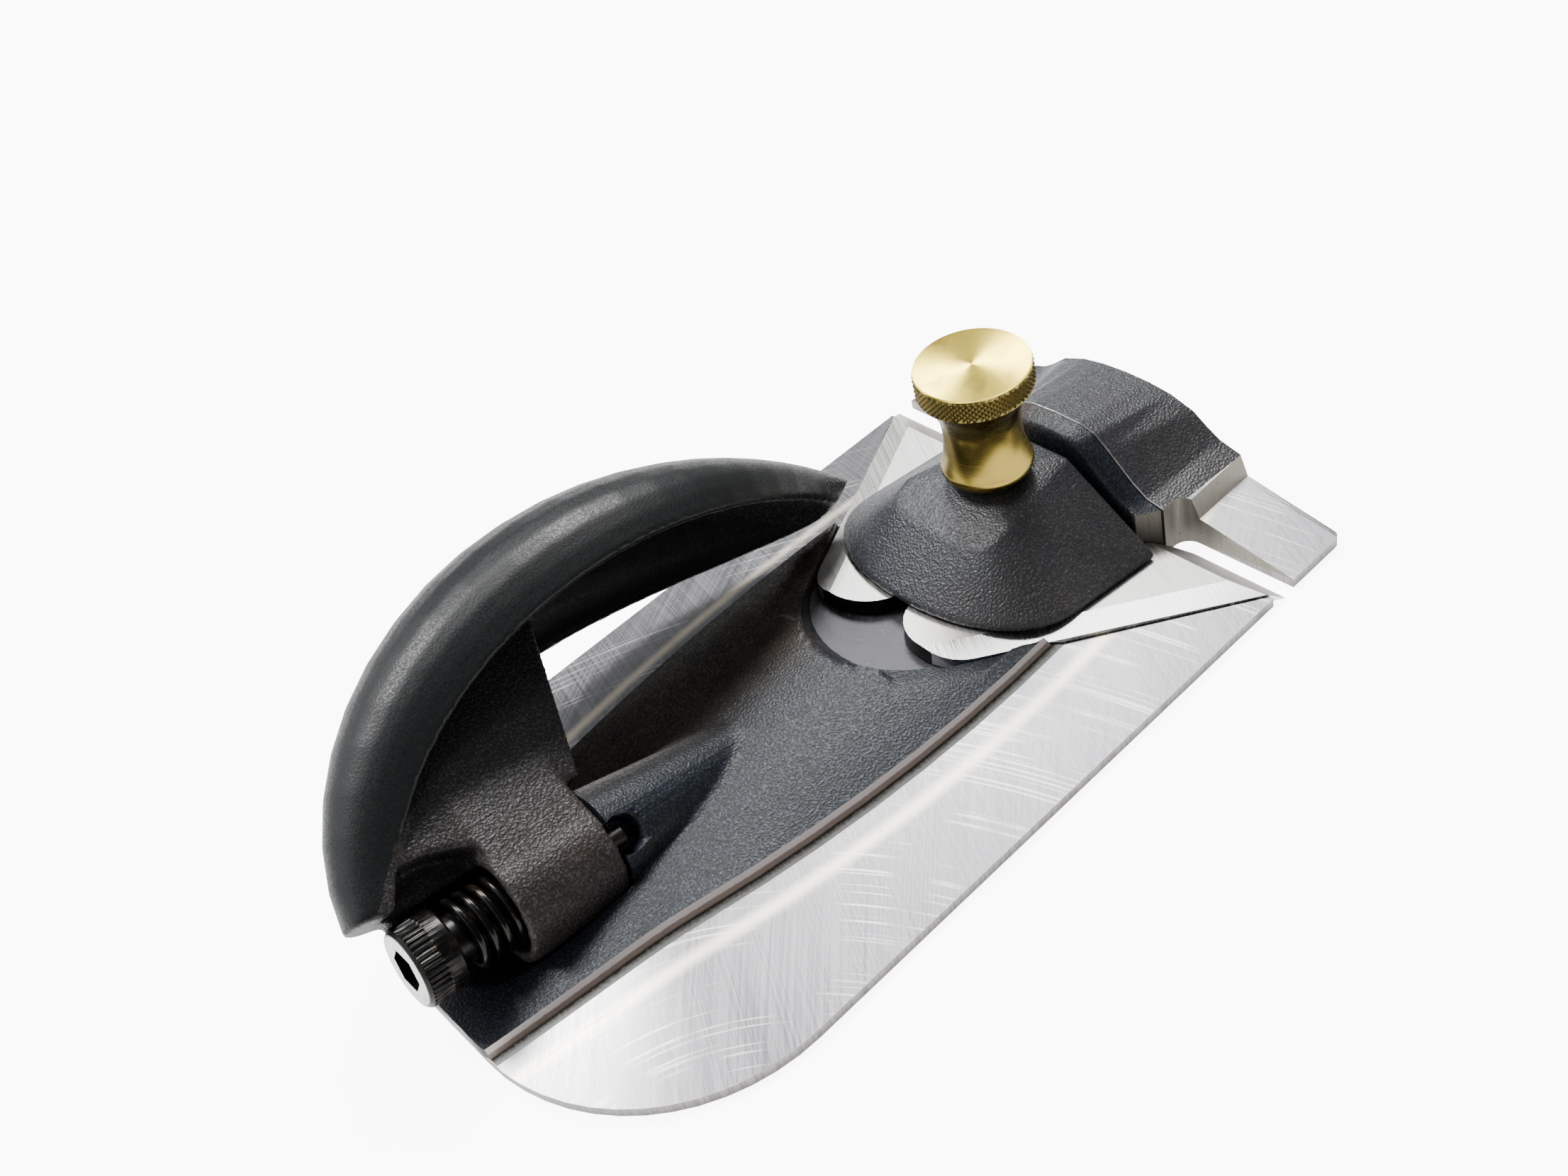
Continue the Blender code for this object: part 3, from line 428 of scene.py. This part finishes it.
def bakeObject(holder):
    # The object as it looks with its modifiers or its round wire; the object itself is removed
    shape = bmesh.new()
    shape.from_mesh(holder.evaluated_get(bpy.context.evaluated_depsgraph_get()).to_mesh())
    bpy.data.objects.remove(holder)
    return shape


def copyNode(node):
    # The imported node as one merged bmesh, since its own mesh is loose triangles
    shape = bmesh.new()
    shape.from_mesh(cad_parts[node].data)
    bmesh.ops.remove_doubles(shape, verts=shape.verts, dist=weld["node"] * mm)
    return shape


def addPiece(name, shape, body, replaced, materials, smoothAngle=35, flat=()):
    # Faces of the flat finishes blend only with their own kind, so a large face keeps its true reflection
    for face in shape.faces:
        face.smooth = True
    for edge in shape.edges:
        finishes = {face.material_index for face in edge.link_faces}
        plain = len(finishes) > 1 or finishes <= set(flat)
        limit = math.radians(flatAngle if plain else smoothAngle)
        edge.smooth = len(edge.link_faces) == 2 and edge.calc_face_angle(math.pi) < limit
    mesh = toMesh(shape, name)
    for material in materials:
        mesh.materials.append(material)
    piece = addObject(name, mesh)
    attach(piece, body)
    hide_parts(replaced)
    return piece


def layOnPivot(shape, turn=0):
    # Turns a shape about Y onto the tilted pivot and moves it there
    bmesh.ops.rotate(shape, verts=shape.verts, matrix=Matrix.Rotation(turn + pivot["tilt"], 3, "Y"))
    bmesh.ops.translate(shape, verts=shape.verts, vec=(pivot["x"] * mm, 0, pivot["z"] * mm))


def spinProfile(profile, steps):
    # Turns a profile of radii and heights in mm about Z
    shape = bmesh.new()
    points = [shape.verts.new((radius * mm, 0, height * mm)) for radius, height in profile]
    edges = [shape.edges.new(pair) for pair in zip(points, points[1:])]
    bmesh.ops.spin(shape, geom=points + edges, axis=(0, 0, 1), cent=(0, 0, 0), angle=math.tau, steps=steps,
                   use_merge=True)
    bmesh.ops.remove_doubles(shape, verts=shape.verts, dist=weld["spun"] * mm)
    bmesh.ops.recalc_face_normals(shape, faces=shape.faces)
    return shape


def easeVerts(shape, verts, rounds, softness):
    for _ in range(rounds):
        bmesh.ops.smooth_vert(shape, verts=verts, factor=softness, use_axis_x=True, use_axis_y=True,
                              use_axis_z=True)


# Body and nose

castSkin = {"longest": 0.9, "passes": 6, "rounds": 12, "softness": 0.5}


def easeSkin(shape, held=None):
    # Cuts the enamelled faces small and eases them, while the machined faces keep their edges
    for _ in range(castSkin["passes"]):
        rough = [e for e in shape.edges if e.calc_length() > castSkin["longest"] * mm
                 and any(f.material_index == 0 for f in e.link_faces)]
        if not rough:
            break
        bmesh.ops.subdivide_edges(shape, edges=rough, cuts=1)
        bmesh.ops.triangulate(shape, faces=[f for f in shape.faces if len(f.verts) > 3])
    loose = [v for v in shape.verts if all(f.material_index == 0 for f in v.link_faces)
             and not (held and held(v.co / mm))]
    easeVerts(shape, loose, castSkin["rounds"], castSkin["softness"])


def wingHeight(x, y):
    # Height of the ground wing, which climbs from the rim at an even slope
    plan = bodyPlan
    flat = plan["halfWidth"] - plan["rearRadius"]
    if x >= plan["rearRadius"]:
        inward = plan["halfWidth"] - y
    elif y <= flat:
        inward = x
    else:
        inward = plan["rearRadius"] - math.hypot(plan["rearRadius"] - x, y - flat)
    return plan["rim"] + math.tan(plan["slope"]) * max(inward, 0)


def inPocket(x, y):
    # The two skewed channels and the round pocket where they meet
    plan = bodyPlan
    line = plan["bladeTip"] - (plan["bladeEdge"] - x) * plan["bladeSlope"] + plan["sideGap"]
    inRound = math.hypot(x - plan["pocketCentre"], y) < plan["pocketRadius"]
    return x > plan["channelStart"] and y < line or inRound


def bodyFinish(c, n):
    # 0 enamel, 1 ground, 2 milled wall, 3 milled pocket, 4 milled rim, 5 foot of the cross wall
    plan = bodyPlan
    x = c.x + plan["rear"]
    y = abs(c.y)
    step = plan["stepHalfWidth"] - (x - plan["stepWidest"]) ** 2 / (2 * plan["stepArc"])
    onRim = c.z < plan["rim"] + slack
    if n.z < -facing["wall"]:
        return 1
    if onRim and n.z < facing["wall"]:
        return 4
    if x > plan["bulkhead"]:
        return 0 if c.z > plan["hump"] and n.x < facing["end"] else 5
    if x > plan["pocketRear"] and inPocket(x, y):
        return 3
    if y < step - slack / 2:
        return 0
    return 2 if n.z < facing["slope"] and y < step + plan["stepReach"] and not onRim else 1


def bodyHeld(place):
    # The trough keeps its clearance to the boss
    plan = bodyPlan
    return place.x + plan["rear"] < plan["troughEnd"] and abs(place.y) < plan["troughRadius"]


def markWall(piece):
    # Share of the wall's height at each point, for its bands
    rise = piece.data.attributes.new("wallRise", "FLOAT", "POINT")
    for vert in piece.data.vertices:
        place = vert.co / mm
        above = place.z - wingHeight(place.x + bodyPlan["rear"], abs(place.y))
        rise.data[vert.index].value = min(max(above / stepLook["height"], 0), 1)


def makeBody():
    shape = copyNode("body")
    for face in shape.faces:
        face.material_index = bodyFinish(face.calc_center_median() / mm, face.normal)
    easeSkin(shape, bodyHeld)
    finishes = (bodyEnamel, wingSteel, stepIron, pocketIron, rimIron, footIron)
    piece = addPiece("bodyCasting", shape, "plane_body", "body", finishes, flat=(1,))
    markWall(piece)


# The seam is a bright chamfer along the joint with the body
nose = {
    "skinFrom": 8.0, "skinHalfWidth": 20.5, "footHalfWidth": 30, "seam": 0.13, "seamUp": 0.05,
    "seamBack": 0.7,
}


def noseFinish(c, n):
    # 0 enamel, 1 ground, 2 milled foot, 3 milled rim
    if c.z > nose["skinFrom"] and abs(c.y) < nose["skinHalfWidth"] and abs(n.x) < facing["end"]:
        return 0
    if c.z < bodyPlan["rim"] + slack and abs(n.z) < facing["wall"]:
        return 3
    return 2 if abs(n.z) < facing["foot"] and abs(c.y) < nose["footHalfWidth"] else 1


def onSeam(edge):
    # Edges between the nose's rear face and its enamelled upper side
    back = any(f.normal.x < -facing["end"] for f in edge.link_faces)
    upper = any(f.normal.z > nose["seamUp"] and f.normal.x > -nose["seamBack"] and f.material_index == 0
                for f in edge.link_faces)
    return back and upper


def makeNose():
    shape = copyNode("nose")
    for face in shape.faces:
        face.material_index = noseFinish(face.calc_center_median() / mm, face.normal)
    easeSkin(shape)
    seam = [e for e in shape.edges if onSeam(e)]
    cut = bmesh.ops.bevel(shape, geom=seam, offset=nose["seam"] * mm, segments=1, profile=0.5, affect="EDGES",
                          material=-1)
    for face in cut["faces"]:
        face.material_index = 1
    finishes = (capEnamel, wingSteel, footIron, rimIron)
    addPiece("noseCasting", shape, "plane_body", "nose", finishes, flat=(1,))


makeBody()
makeNose()
print("body and nose made")


# Blades

# The fit, in mm, closes most of a blade's slot; the rest are parts of a face's direction
blade = {"fit": 0.22, "flank": 0.3, "upright": 0.2, "bevel": 0.15}


def makeBlade(node, name, body, side, bevel):
    shape = copyNode(node)
    flanks = [f for f in shape.faces
              if abs(f.normal.z) < facing["wall"] and f.normal.y * side > blade["flank"]]
    outward = sum((f.normal * f.calc_area() for f in flanks), Vector()).normalized()
    edge = list({v for f in flanks for v in f.verts})
    bmesh.ops.translate(shape, verts=edge, vec=outward * blade["fit"] * mm)
    for face in shape.faces:
        tilt = face.normal.y * side
        if abs(face.normal.z) < blade["upright"] and tilt < blade["flank"]:
            face.material_index = 2
        elif face.normal.z > -blade["upright"] and tilt > blade["bevel"]:
            face.material_index = 1
    addPiece(name, shape, body, node, (bladeSteel, bevel, browned), smoothAngle=13)


makeBlade("blade_left", "leftBlade", "left_blade", 1, bladeSteel)
# Only the near blade's bevel gets the lighter honed steel, as a painted highlight
makeBlade("blade_right", "rightBlade", "right_blade", -1, brightBevelSteel)
print("blades made")


# Handle and cap, with the soft edges of a casting

castings = {"voxel": 0.42, "rounds": 6, "softness": 0.5, "smoothAngle": 80}


def joinShape(shape, other):
    mesh = toMesh(other, "joined")
    shape.from_mesh(mesh)
    bpy.data.meshes.remove(mesh)


def soften(shape, voxel, bore=None):
    # Remeshes a casting evenly, opens its bore and eases its edges and inner corners
    holder = addObject("casting", toMesh(shape, "casting"))
    remesh = holder.modifiers.new("even", "REMESH")
    remesh.mode = "VOXEL"
    remesh.voxel_size = voxel * mm
    if bore:
        hole = holder.modifiers.new("bore", "BOOLEAN")
        hole.object = bore
    shape = bakeObject(holder)
    easeVerts(shape, shape.verts, castings["rounds"], castings["softness"])
    return shape


# The handle in its own leaning plane, in mm from the pivot: palm's edge, boss and web's root, then its wear
palm = {
    "lean": math.radians(53), "edgeStart": 7.5, "edgeBend": 15, "edgeSlope": 0.4, "webReach": 5.2,
    "bossRear": 12, "bossFront": 33, "bossTop": 16, "rootFrom": 14.4, "rootTo": 28.8, "rootFoot": 3.6,
    "rootHalf": 7.0, "rootTop": 20.0, "rootTopHalf": 3.0, "notchHalf": 5.3, "notchTop": 6.5,
    "wearStart": 0.05, "wearFull": 0.16,
}


def onWeb(c):
    # The web and boss below the palm's edge
    x = c.x - pivot["x"]
    z = c.z - pivot["z"]
    along = x * math.cos(pivot["tilt"]) - z * math.sin(pivot["tilt"])
    above = x * math.sin(pivot["tilt"]) + z * math.cos(pivot["tilt"])
    out = c.y * math.sin(palm["lean"]) + above * math.cos(palm["lean"])
    across = c.y * math.cos(palm["lean"]) - above * math.sin(palm["lean"])
    bend = palm["edgeBend"]
    edge = palm["edgeStart"] + min(along, bend) + max(along - bend, 0) * palm["edgeSlope"]
    onBoss = palm["bossRear"] < along < palm["bossFront"] and out < palm["bossTop"]
    return onBoss or abs(across) < palm["webReach"] and out < edge


def webRoot():
    # Straight flanks that carry the web down onto the boss, with a notch clear of the bore for the spring
    p = palm
    outline = [(-p["rootHalf"], p["rootFoot"]), (-p["notchHalf"], p["rootFoot"]),
               (-p["notchHalf"], p["notchTop"]), (p["notchHalf"], p["notchTop"]),
               (p["notchHalf"], p["rootFoot"]), (p["rootHalf"], p["rootFoot"]),
               (p["rootTopHalf"], p["rootTop"]), (-p["rootTopHalf"], p["rootTop"])]
    root = bmesh.new()
    corners = [root.verts.new((p["rootFrom"] * mm, across * mm, out * mm)) for across, out in outline]
    end = root.faces.new(corners)
    grown = bmesh.ops.extrude_face_region(root, geom=[end])["geom"]
    moved = [v for v in grown if isinstance(v, bmesh.types.BMVert)]
    bmesh.ops.translate(root, verts=moved, vec=((p["rootTo"] - p["rootFrom"]) * mm, 0, 0))
    bmesh.ops.recalc_face_normals(root, faces=root.faces)
    bmesh.ops.rotate(root, verts=root.verts, matrix=Matrix.Rotation(-p["lean"], 3, "X"))
    layOnPivot(root)
    return root


def markEdges(piece):
    # Keeps how sharply each point stands out, for wear on the edges
    shape = bmesh.new()
    shape.from_mesh(piece.data)
    wear = piece.data.attributes.new("edgeWear", "FLOAT", "POINT")
    for vert in shape.verts:
        near = [edge.other_vert(vert).co for edge in vert.link_edges]
        middle = sum(near, Vector()) / len(near)
        stand = (vert.co - middle).dot(vert.normal) / (castings["voxel"] * mm)
        share = (stand - palm["wearStart"]) / (palm["wearFull"] - palm["wearStart"])
        wear.data[vert.index].value = min(max(share, 0), 1)
    shape.free()


def makeHandle():
    shape = copyNode("handle")
    joinShape(shape, webRoot())
    shape = soften(shape, castings["voxel"])
    for face in shape.faces:
        face.material_index = 1 if onWeb(face.calc_center_median() / mm) else 0
    piece = addPiece("palmHandle", shape, "swing_handle", "handle", (palmEnamel, webEnamel),
                     smoothAngle=castings["smoothAngle"])
    markEdges(piece)


cap = {"crownTilt": 0.15, "voxelShare": 0.75, "boreRadius": 3.35, "boreDepth": 80, "boreSides": 40}


def capCrown(shape):
    # The crown's facets run straight from its top to its foot, so a hull is drawn over the upper faces
    crown = shape.copy()
    low = [v for v in crown.verts if all(f.normal.z < cap["crownTilt"] for f in v.link_faces)]
    bmesh.ops.delete(crown, geom=low, context="VERTS")
    bmesh.ops.delete(crown, geom=crown.edges[:], context="EDGES_FACES")
    hull = bmesh.ops.convex_hull(crown, input=crown.verts)
    inside = {v for v in hull["geom_interior"] + hull["geom_unused"] if isinstance(v, bmesh.types.BMVert)}
    bmesh.ops.delete(crown, geom=list(inside), context="VERTS")
    return crown


def makeCap():
    shape = copyNode("lever_cap")
    joinShape(shape, capCrown(shape))
    stud = bmesh.new()
    bmesh.ops.create_cone(stud, cap_ends=True, segments=cap["boreSides"], radius1=cap["boreRadius"] * mm,
                          radius2=cap["boreRadius"] * mm, depth=cap["boreDepth"] * mm)
    bmesh.ops.translate(stud, verts=stud.verts, vec=(studX * mm, 0, 0))
    bore = addObject("stud", toMesh(stud, "stud"))
    shape = soften(shape, castings["voxel"] * cap["voxelShare"], bore)
    bpy.data.objects.remove(bore)
    addPiece("leverCap", shape, "cap", "lever_cap", (capEnamel,),
             smoothAngle=castings["smoothAngle"])


makeHandle()
makeCap()
print("handle and cap made")


# Knob

knob = {
    "top": 37.3, "topRing": 4.0, "rimRadius": 8.6, "rimHeight": 4.1, "rimTuck": 0.5, "rimEase": 0.35,
    "chamfer": 0.3, "neckRadius": 5.7, "neckSteps": 28, "hollow": 2.2, "baseRadius": 6.8, "baseHeight": 1.0,
    "baseRound": 0.5, "baseEase": 0.15, "foot": 18.0, "collarRadius": 5.2, "collarHeight": 1.3,
    "studEnd": 1.2, "studRadius": 3.0, "diamonds": 62, "rows": 8, "knurlDepth": 0.34, "endShare": 0.6,
    "knurlBand": 0.7,
}


def knobProfile(low, high):
    # Stud, collar, hollow neck and rim, from the stud's end up; low and high bound the knurl
    k = knob
    rim = k["top"] - k["rimHeight"]
    seat = k["foot"] + k["collarHeight"]
    neck = seat + k["baseHeight"]
    profile = [(0, k["studEnd"]), (k["studRadius"], k["studEnd"]), (k["studRadius"], k["foot"]),
               (k["collarRadius"], k["foot"]), (k["collarRadius"], seat),
               (k["baseRadius"] - k["baseRound"], seat),
               (k["baseRadius"] - k["baseEase"], seat + k["baseEase"]),
               (k["baseRadius"], seat + k["baseRound"])]
    for i in range(k["neckSteps"] + 1):
        share = 2 * i / k["neckSteps"] - 1
        spread = k["baseRadius"] if share < 0 else k["rimRadius"] - k["rimTuck"]
        waist = k["neckRadius"] + (spread - k["neckRadius"]) * abs(share) ** k["hollow"]
        profile.append((waist, neck + (rim - neck) * i / k["neckSteps"]))
    for i in range(k["rows"] + 1):
        profile.append((k["rimRadius"], low + (high - low) * i / k["rows"]))
    return profile + [(k["rimRadius"] - k["chamfer"], k["top"]), (k["topRing"], k["top"]), (0, k["top"])]


def makeKnob():
    k = knob
    low = k["top"] - k["rimHeight"] + k["rimEase"]
    high = k["top"] - k["chamfer"]
    steps = 2 * k["diamonds"]
    shape = spinProfile(knobProfile(low, high), steps)
    rise = (high - low) / k["rows"]
    for vert in shape.verts:
        radius = vert.co.xy.length / mm
        height = vert.co.z / mm
        if abs(radius - k["rimRadius"]) < hairline and low - hairline <= height <= high + hairline:
            column = round(math.atan2(vert.co.y, vert.co.x) / math.tau * steps)
            row = round((height - low) / rise)
            ends = row in (0, k["rows"])
            valley = (column + row) % 2 == 1 or ends
            if valley:
                depth = k["knurlDepth"] * (k["endShare"] if ends else 1)
                vert.co.xy *= (radius - depth) / radius
    knurled = []
    for face in shape.faces:
        centre = face.calc_center_median() / mm
        if centre.xy.length > k["rimRadius"] - k["knurlBand"] and low < centre.z < high:
            face.material_index = 1
            knurled.append(face)
        elif centre.z < low:
            face.material_index = 2
    for face in knurled:
        peaks = sorted(face.verts, key=lambda v: v.co.xy.length)
        if len(face.verts) == 4 and not any(e.other_vert(peaks[0]) == peaks[1] for e in peaks[0].link_edges):
            bmesh.utils.face_split(face, peaks[0], peaks[1])
    bmesh.ops.translate(shape, verts=shape.verts, vec=(studX * mm, 0, 0))
    finishes = (brass, knurledBrassShaded, neckBrassShaded)
    addPiece("brassKnob", shape, "knob", "cap_knob", finishes, smoothAngle=24)


makeKnob()
print("knob made")


# Screws, pin and spring

pivotScrew = {
    "headRadius": 5.56, "headLength": 5.8, "shoulder": 3.5, "shoulderEnd": 29.0, "thread": 2.8, "end": 44.5,
    "knurlEnd": 3.3, "ridges": 44, "ridgeDepth": 0.22, "keyAcross": 2.6, "keyDepth": 3.2, "chamfer": 0.45,
}
noseScrew = {
    "headRadius": 3.8, "headLength": 4.2, "shoulder": 2.1, "shoulderEnd": 12.0, "thread": 2.1, "end": 17.9,
    "knurlEnd": 3.4, "ridges": 36, "ridgeDepth": 0.16, "keyAcross": 1.75, "keyDepth": 2.2, "chamfer": 0.35,
    "front": 65.7, "z": 8.5,
}

# Small eased edges that both screws share, in mm; ridge gives the shares of depth that repeat round a head
screwEdges = {
    "faceRing": 0.2, "faceDrop": 0.05, "shoulderIn": 0.06, "ridgeStart": 0.25, "ridgeStop": 0.2,
    "plainIn": 0.05, "plainStart": 0.1, "underRise": 0.35, "underIn": 0.3, "tip": 0.6, "drillPoint": 0.5,
    "ridge": (1, 1, 0.55, 0, 0, 0.55), "keySides": 6, "smoothAngle": 28,
}


def screwProfile(s):
    # Head, shoulder and thread, from the head's end face on
    e = screwEdges
    head = s["headRadius"]
    return [(head - s["chamfer"] - e["faceRing"], 0), (head - s["chamfer"], e["faceDrop"]),
            (head - e["shoulderIn"], s["chamfer"]), (head, s["chamfer"] + e["ridgeStart"]),
            (head, s["knurlEnd"] - e["ridgeStop"]), (head - e["plainIn"], s["knurlEnd"] + e["plainStart"]),
            (head - e["plainIn"], s["headLength"] - e["underRise"]), (head - e["underIn"], s["headLength"]),
            (s["shoulder"], s["headLength"]), (s["shoulder"], s["shoulderEnd"]),
            (s["thread"], s["shoulderEnd"]), (s["thread"], s["end"] - e["tip"]),
            (s["thread"] - e["tip"], s["end"]), (0, s["end"])]


def socketScrew(s):
    # Cap screw along +Z with its end face at 0, knurled on the head, with a hexagon socket
    ridge = screwEdges["ridge"]
    sides = screwEdges["keySides"]
    steps = s["ridges"] * len(ridge)
    shape = spinProfile(screwProfile(s), steps)
    for vert in shape.verts:
        radius = vert.co.xy.length / mm
        if radius > s["headRadius"] - hairline:
            column = round(math.atan2(vert.co.y, vert.co.x) / math.tau * steps) % len(ridge)
            vert.co.xy *= (radius - s["ridgeDepth"] * ridge[column]) / radius
    rim = [e for e in shape.edges if e.is_boundary]
    keyRadius = s["keyAcross"] * mm / math.cos(math.pi / sides)
    key = bmesh.ops.create_circle(shape, segments=sides, radius=keyRadius)["verts"]
    keyEdges = list({e for v in key for e in v.link_edges})
    bmesh.ops.subdivide_edges(shape, edges=keyEdges, cuts=steps // sides - 1)
    keyEdges = [e for e in shape.edges if e.is_wire]
    ring = set(bmesh.ops.bridge_loops(shape, edges=rim + keyEdges)["faces"])
    socket = [e for e in shape.edges if e.is_boundary]
    walls = bmesh.ops.extrude_edge_only(shape, edges=socket)["geom"]
    bottom = [v for v in walls if isinstance(v, bmesh.types.BMVert)]
    bmesh.ops.translate(shape, verts=bottom, vec=(0, 0, s["keyDepth"] * mm))
    floor = bmesh.ops.contextual_create(shape, geom=[e for e in shape.edges if e.is_boundary])["faces"]
    point = bmesh.ops.poke(shape, faces=floor)["verts"]
    bmesh.ops.translate(shape, verts=point, vec=(0, 0, screwEdges["drillPoint"] * mm))
    for face in shape.faces:
        face.material_index = 1 if face in ring else 0
    bmesh.ops.recalc_face_normals(shape, faces=shape.faces)
    return shape


def makeScrews():
    angle = screwEdges["smoothAngle"]
    shape = socketScrew(pivotScrew)
    layOnPivot(shape, math.pi / 2)
    addPiece("pivotScrew", shape, "plane_body", "pivot_screw", (oxide, endSteel),
             smoothAngle=angle)
    shape = socketScrew(noseScrew)
    bmesh.ops.rotate(shape, verts=shape.verts, matrix=Matrix.Rotation(-math.pi / 2, 3, "Y"))
    bmesh.ops.translate(shape, verts=shape.verts, vec=(noseScrew["front"] * mm, 0, noseScrew["z"] * mm))
    addPiece("noseScrew", shape, "plane_body", "nose_screw", (oxide, oxide), smoothAngle=angle)


def makePin():
    shape = copyNode("handle_pin")
    addPiece("handlePin", shape, "swing_handle", "handle_pin", (browned,))


spring = {
    "wire": 0.6, "wireRounds": 4, "radius": 4.7, "turns": 5, "start": 6.1, "end": 17.5, "perTurn": 24,
    "travel": 4.0, "smoothAngle": 50,
}


def springPoints():
    # A helix along X with a short straight run at each end
    s = spring
    first = s["start"] + 2 * s["wire"]
    last = s["end"] - 2 * s["wire"]
    count = s["turns"] * s["perTurn"]
    points = [(s["start"], 0, -s["radius"])]
    for i in range(count + 1):
        angle = math.tau * i / s["perTurn"]
        points.append((first + (last - first) * i / count, math.sin(angle) * s["radius"],
                       -math.cos(angle) * s["radius"]))
    return points + [(s["end"], *points[-1][1:])]


def makeSpring():
    s = spring
    curve = bpy.data.curves.new("springLine", "CURVE")
    curve.dimensions = "3D"
    curve.bevel_depth = s["wire"] * mm
    curve.bevel_resolution = s["wireRounds"]
    curve.use_fill_caps = True
    points = springPoints()
    spline = curve.splines.new("POLY")
    spline.points.add(len(points) - 1)
    for target, point in zip(spline.points, points):
        target.co = (*(Vector(point) * mm), 1)
    shape = bakeObject(addObject("springLine", curve))
    layOnPivot(shape)
    piece = addPiece("handleSpring", shape, "spring", "handle_spring", (wire,),
                     smoothAngle=s["smoothAngle"])
    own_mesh(piece)


makeScrews()
makePin()
makeSpring()
print("screws, pin and spring made")


# Floor, light and camera

# Sizes and places of the stage are in metres, but for the drops of its sheets, which are in mm
stage = {
    "sheet": "#f6f6f4", "glowColour": "#ffffff", "glow": 8.0, "sheen": 1.0, "bounce": "#90908e", "size": 3.0,
    "roughness": 0.6, "drop": 0.05, "bounceDrop": 0.1, "wall": (-0.82, 0.53, 0.20), "wallFrom": 0.45,
    "wallFull": 0.9, "shade": 0.15, "light": 2.2, "air": "#f2f4f8", "sun": 3.9, "sunAngle": 18,
    "suns": ((-0.16, 0.48, 0.86), (0.45, 0.42, 0.79)),
    "boxFrom": (0.33, 0.04, 0.5), "boxSize": (0.20, 0.06), "box": 0.25,
    "panelFrom": (0.36, 0.26, 0.55), "panelSize": (0.8, 0.7), "panel": 1.2,
}


def addFloor(name, colour, glow, drop):
    shape = bmesh.new()
    bmesh.ops.create_grid(shape, x_segments=1, y_segments=1, size=stage["size"] / 2)
    mesh = toMesh(shape, name)
    material, tree, shader = newMaterial(name)
    setInputs(tree, shader, {"Base Color": hexColour(colour), "Roughness": stage["roughness"],
                             "Emission Color": hexColour(stage["glowColour"]), "Emission Strength": glow})
    mesh.materials.append(material)
    floor = addObject(name, mesh)
    floor.location.z = -drop * mm
    return floor


def makeFloors():
    # The camera sees a sheet that glows as if overexposed; two unseen ones give its bounce and its reflection
    seen = addFloor("whiteSheet", stage["sheet"], stage["glow"], stage["drop"])
    seen.visible_diffuse = False
    seen.visible_glossy = False
    seen.visible_shadow = False
    bounce = addFloor("paleFloor", stage["bounce"], 0, stage["bounceDrop"])
    bounce.visible_camera = False
    bounce.visible_glossy = False
    sheen = addFloor("sheetSheen", stage["sheet"], stage["sheen"], stage["drop"])
    sheen.visible_camera = False
    sheen.visible_diffuse = False
    sheen.visible_shadow = False


def makeWorld():
    # A dim room with one bright wall
    world = bpy.data.worlds.new("studio")
    world.use_nodes = True
    tree = world.node_tree
    direction = addNode(tree, "ShaderNodeTexCoord").outputs["Generated"]
    wall = Vector(stage["wall"]).normalized()
    towards = addVectorMath(tree, "DOT_PRODUCT", direction, wall).outputs["Value"]
    light = addRange(tree, towards, stage["wallFrom"], stage["wallFull"], stage["shade"], stage["light"])
    setInputs(tree, tree.nodes["Background"], {"Strength": light, "Color": hexColour(stage["air"])})
    bpy.context.scene.world = world


def addPanel(name, place, size, power):
    panel = bpy.data.lights.new(name, "AREA")
    panel.shape = "RECTANGLE"
    panel.size, panel.size_y = size
    panel.energy = power
    lamp = addObject(name, panel)
    lamp.location = place
    return lamp


def makeLamps():
    sun = bpy.data.lights.new("overhead", "SUN")
    sun.energy = stage["sun"]
    sun.angle = math.radians(stage["sunAngle"])
    for i, place in enumerate(stage["suns"]):
        lamp = addObject("overhead" + str(i), sun)
        lamp.rotation_euler = Vector(place).to_track_quat("Z", "Y").to_euler()
    addPanel("softbox", stage["boxFrom"], stage["boxSize"], stage["box"])
    reflector = addPanel("reflector", stage["panelFrom"], stage["panelSize"], stage["panel"])
    reflector.visible_diffuse = False


# Place, lens, sensor and clip of the camera are in mm
camera = {
    "place": (-94.03, -145.71, 180.0), "right": (0.71898, -0.66400, -0.20536),
    "up": (0.57397, 0.40061, 0.71419), "lens": 39.615, "sensor": 36, "clip": 10,
}


def makeCamera():
    view = bpy.data.cameras.new("photoView")
    view.lens = camera["lens"]
    view.sensor_width = camera["sensor"]
    view.clip_start = camera["clip"] * mm
    right = Vector(camera["right"]).normalized()
    up = Vector(camera["up"]).normalized()
    turn = Matrix((right, up, right.cross(up))).transposed().to_4x4()
    holder = addObject("photoView", view)
    holder.matrix_world = Matrix.Translation(Vector(camera["place"]) * mm) @ turn
    bpy.context.scene.camera = holder


makeFloors()
makeWorld()
makeLamps()
makeCamera()
print("stage and camera made")
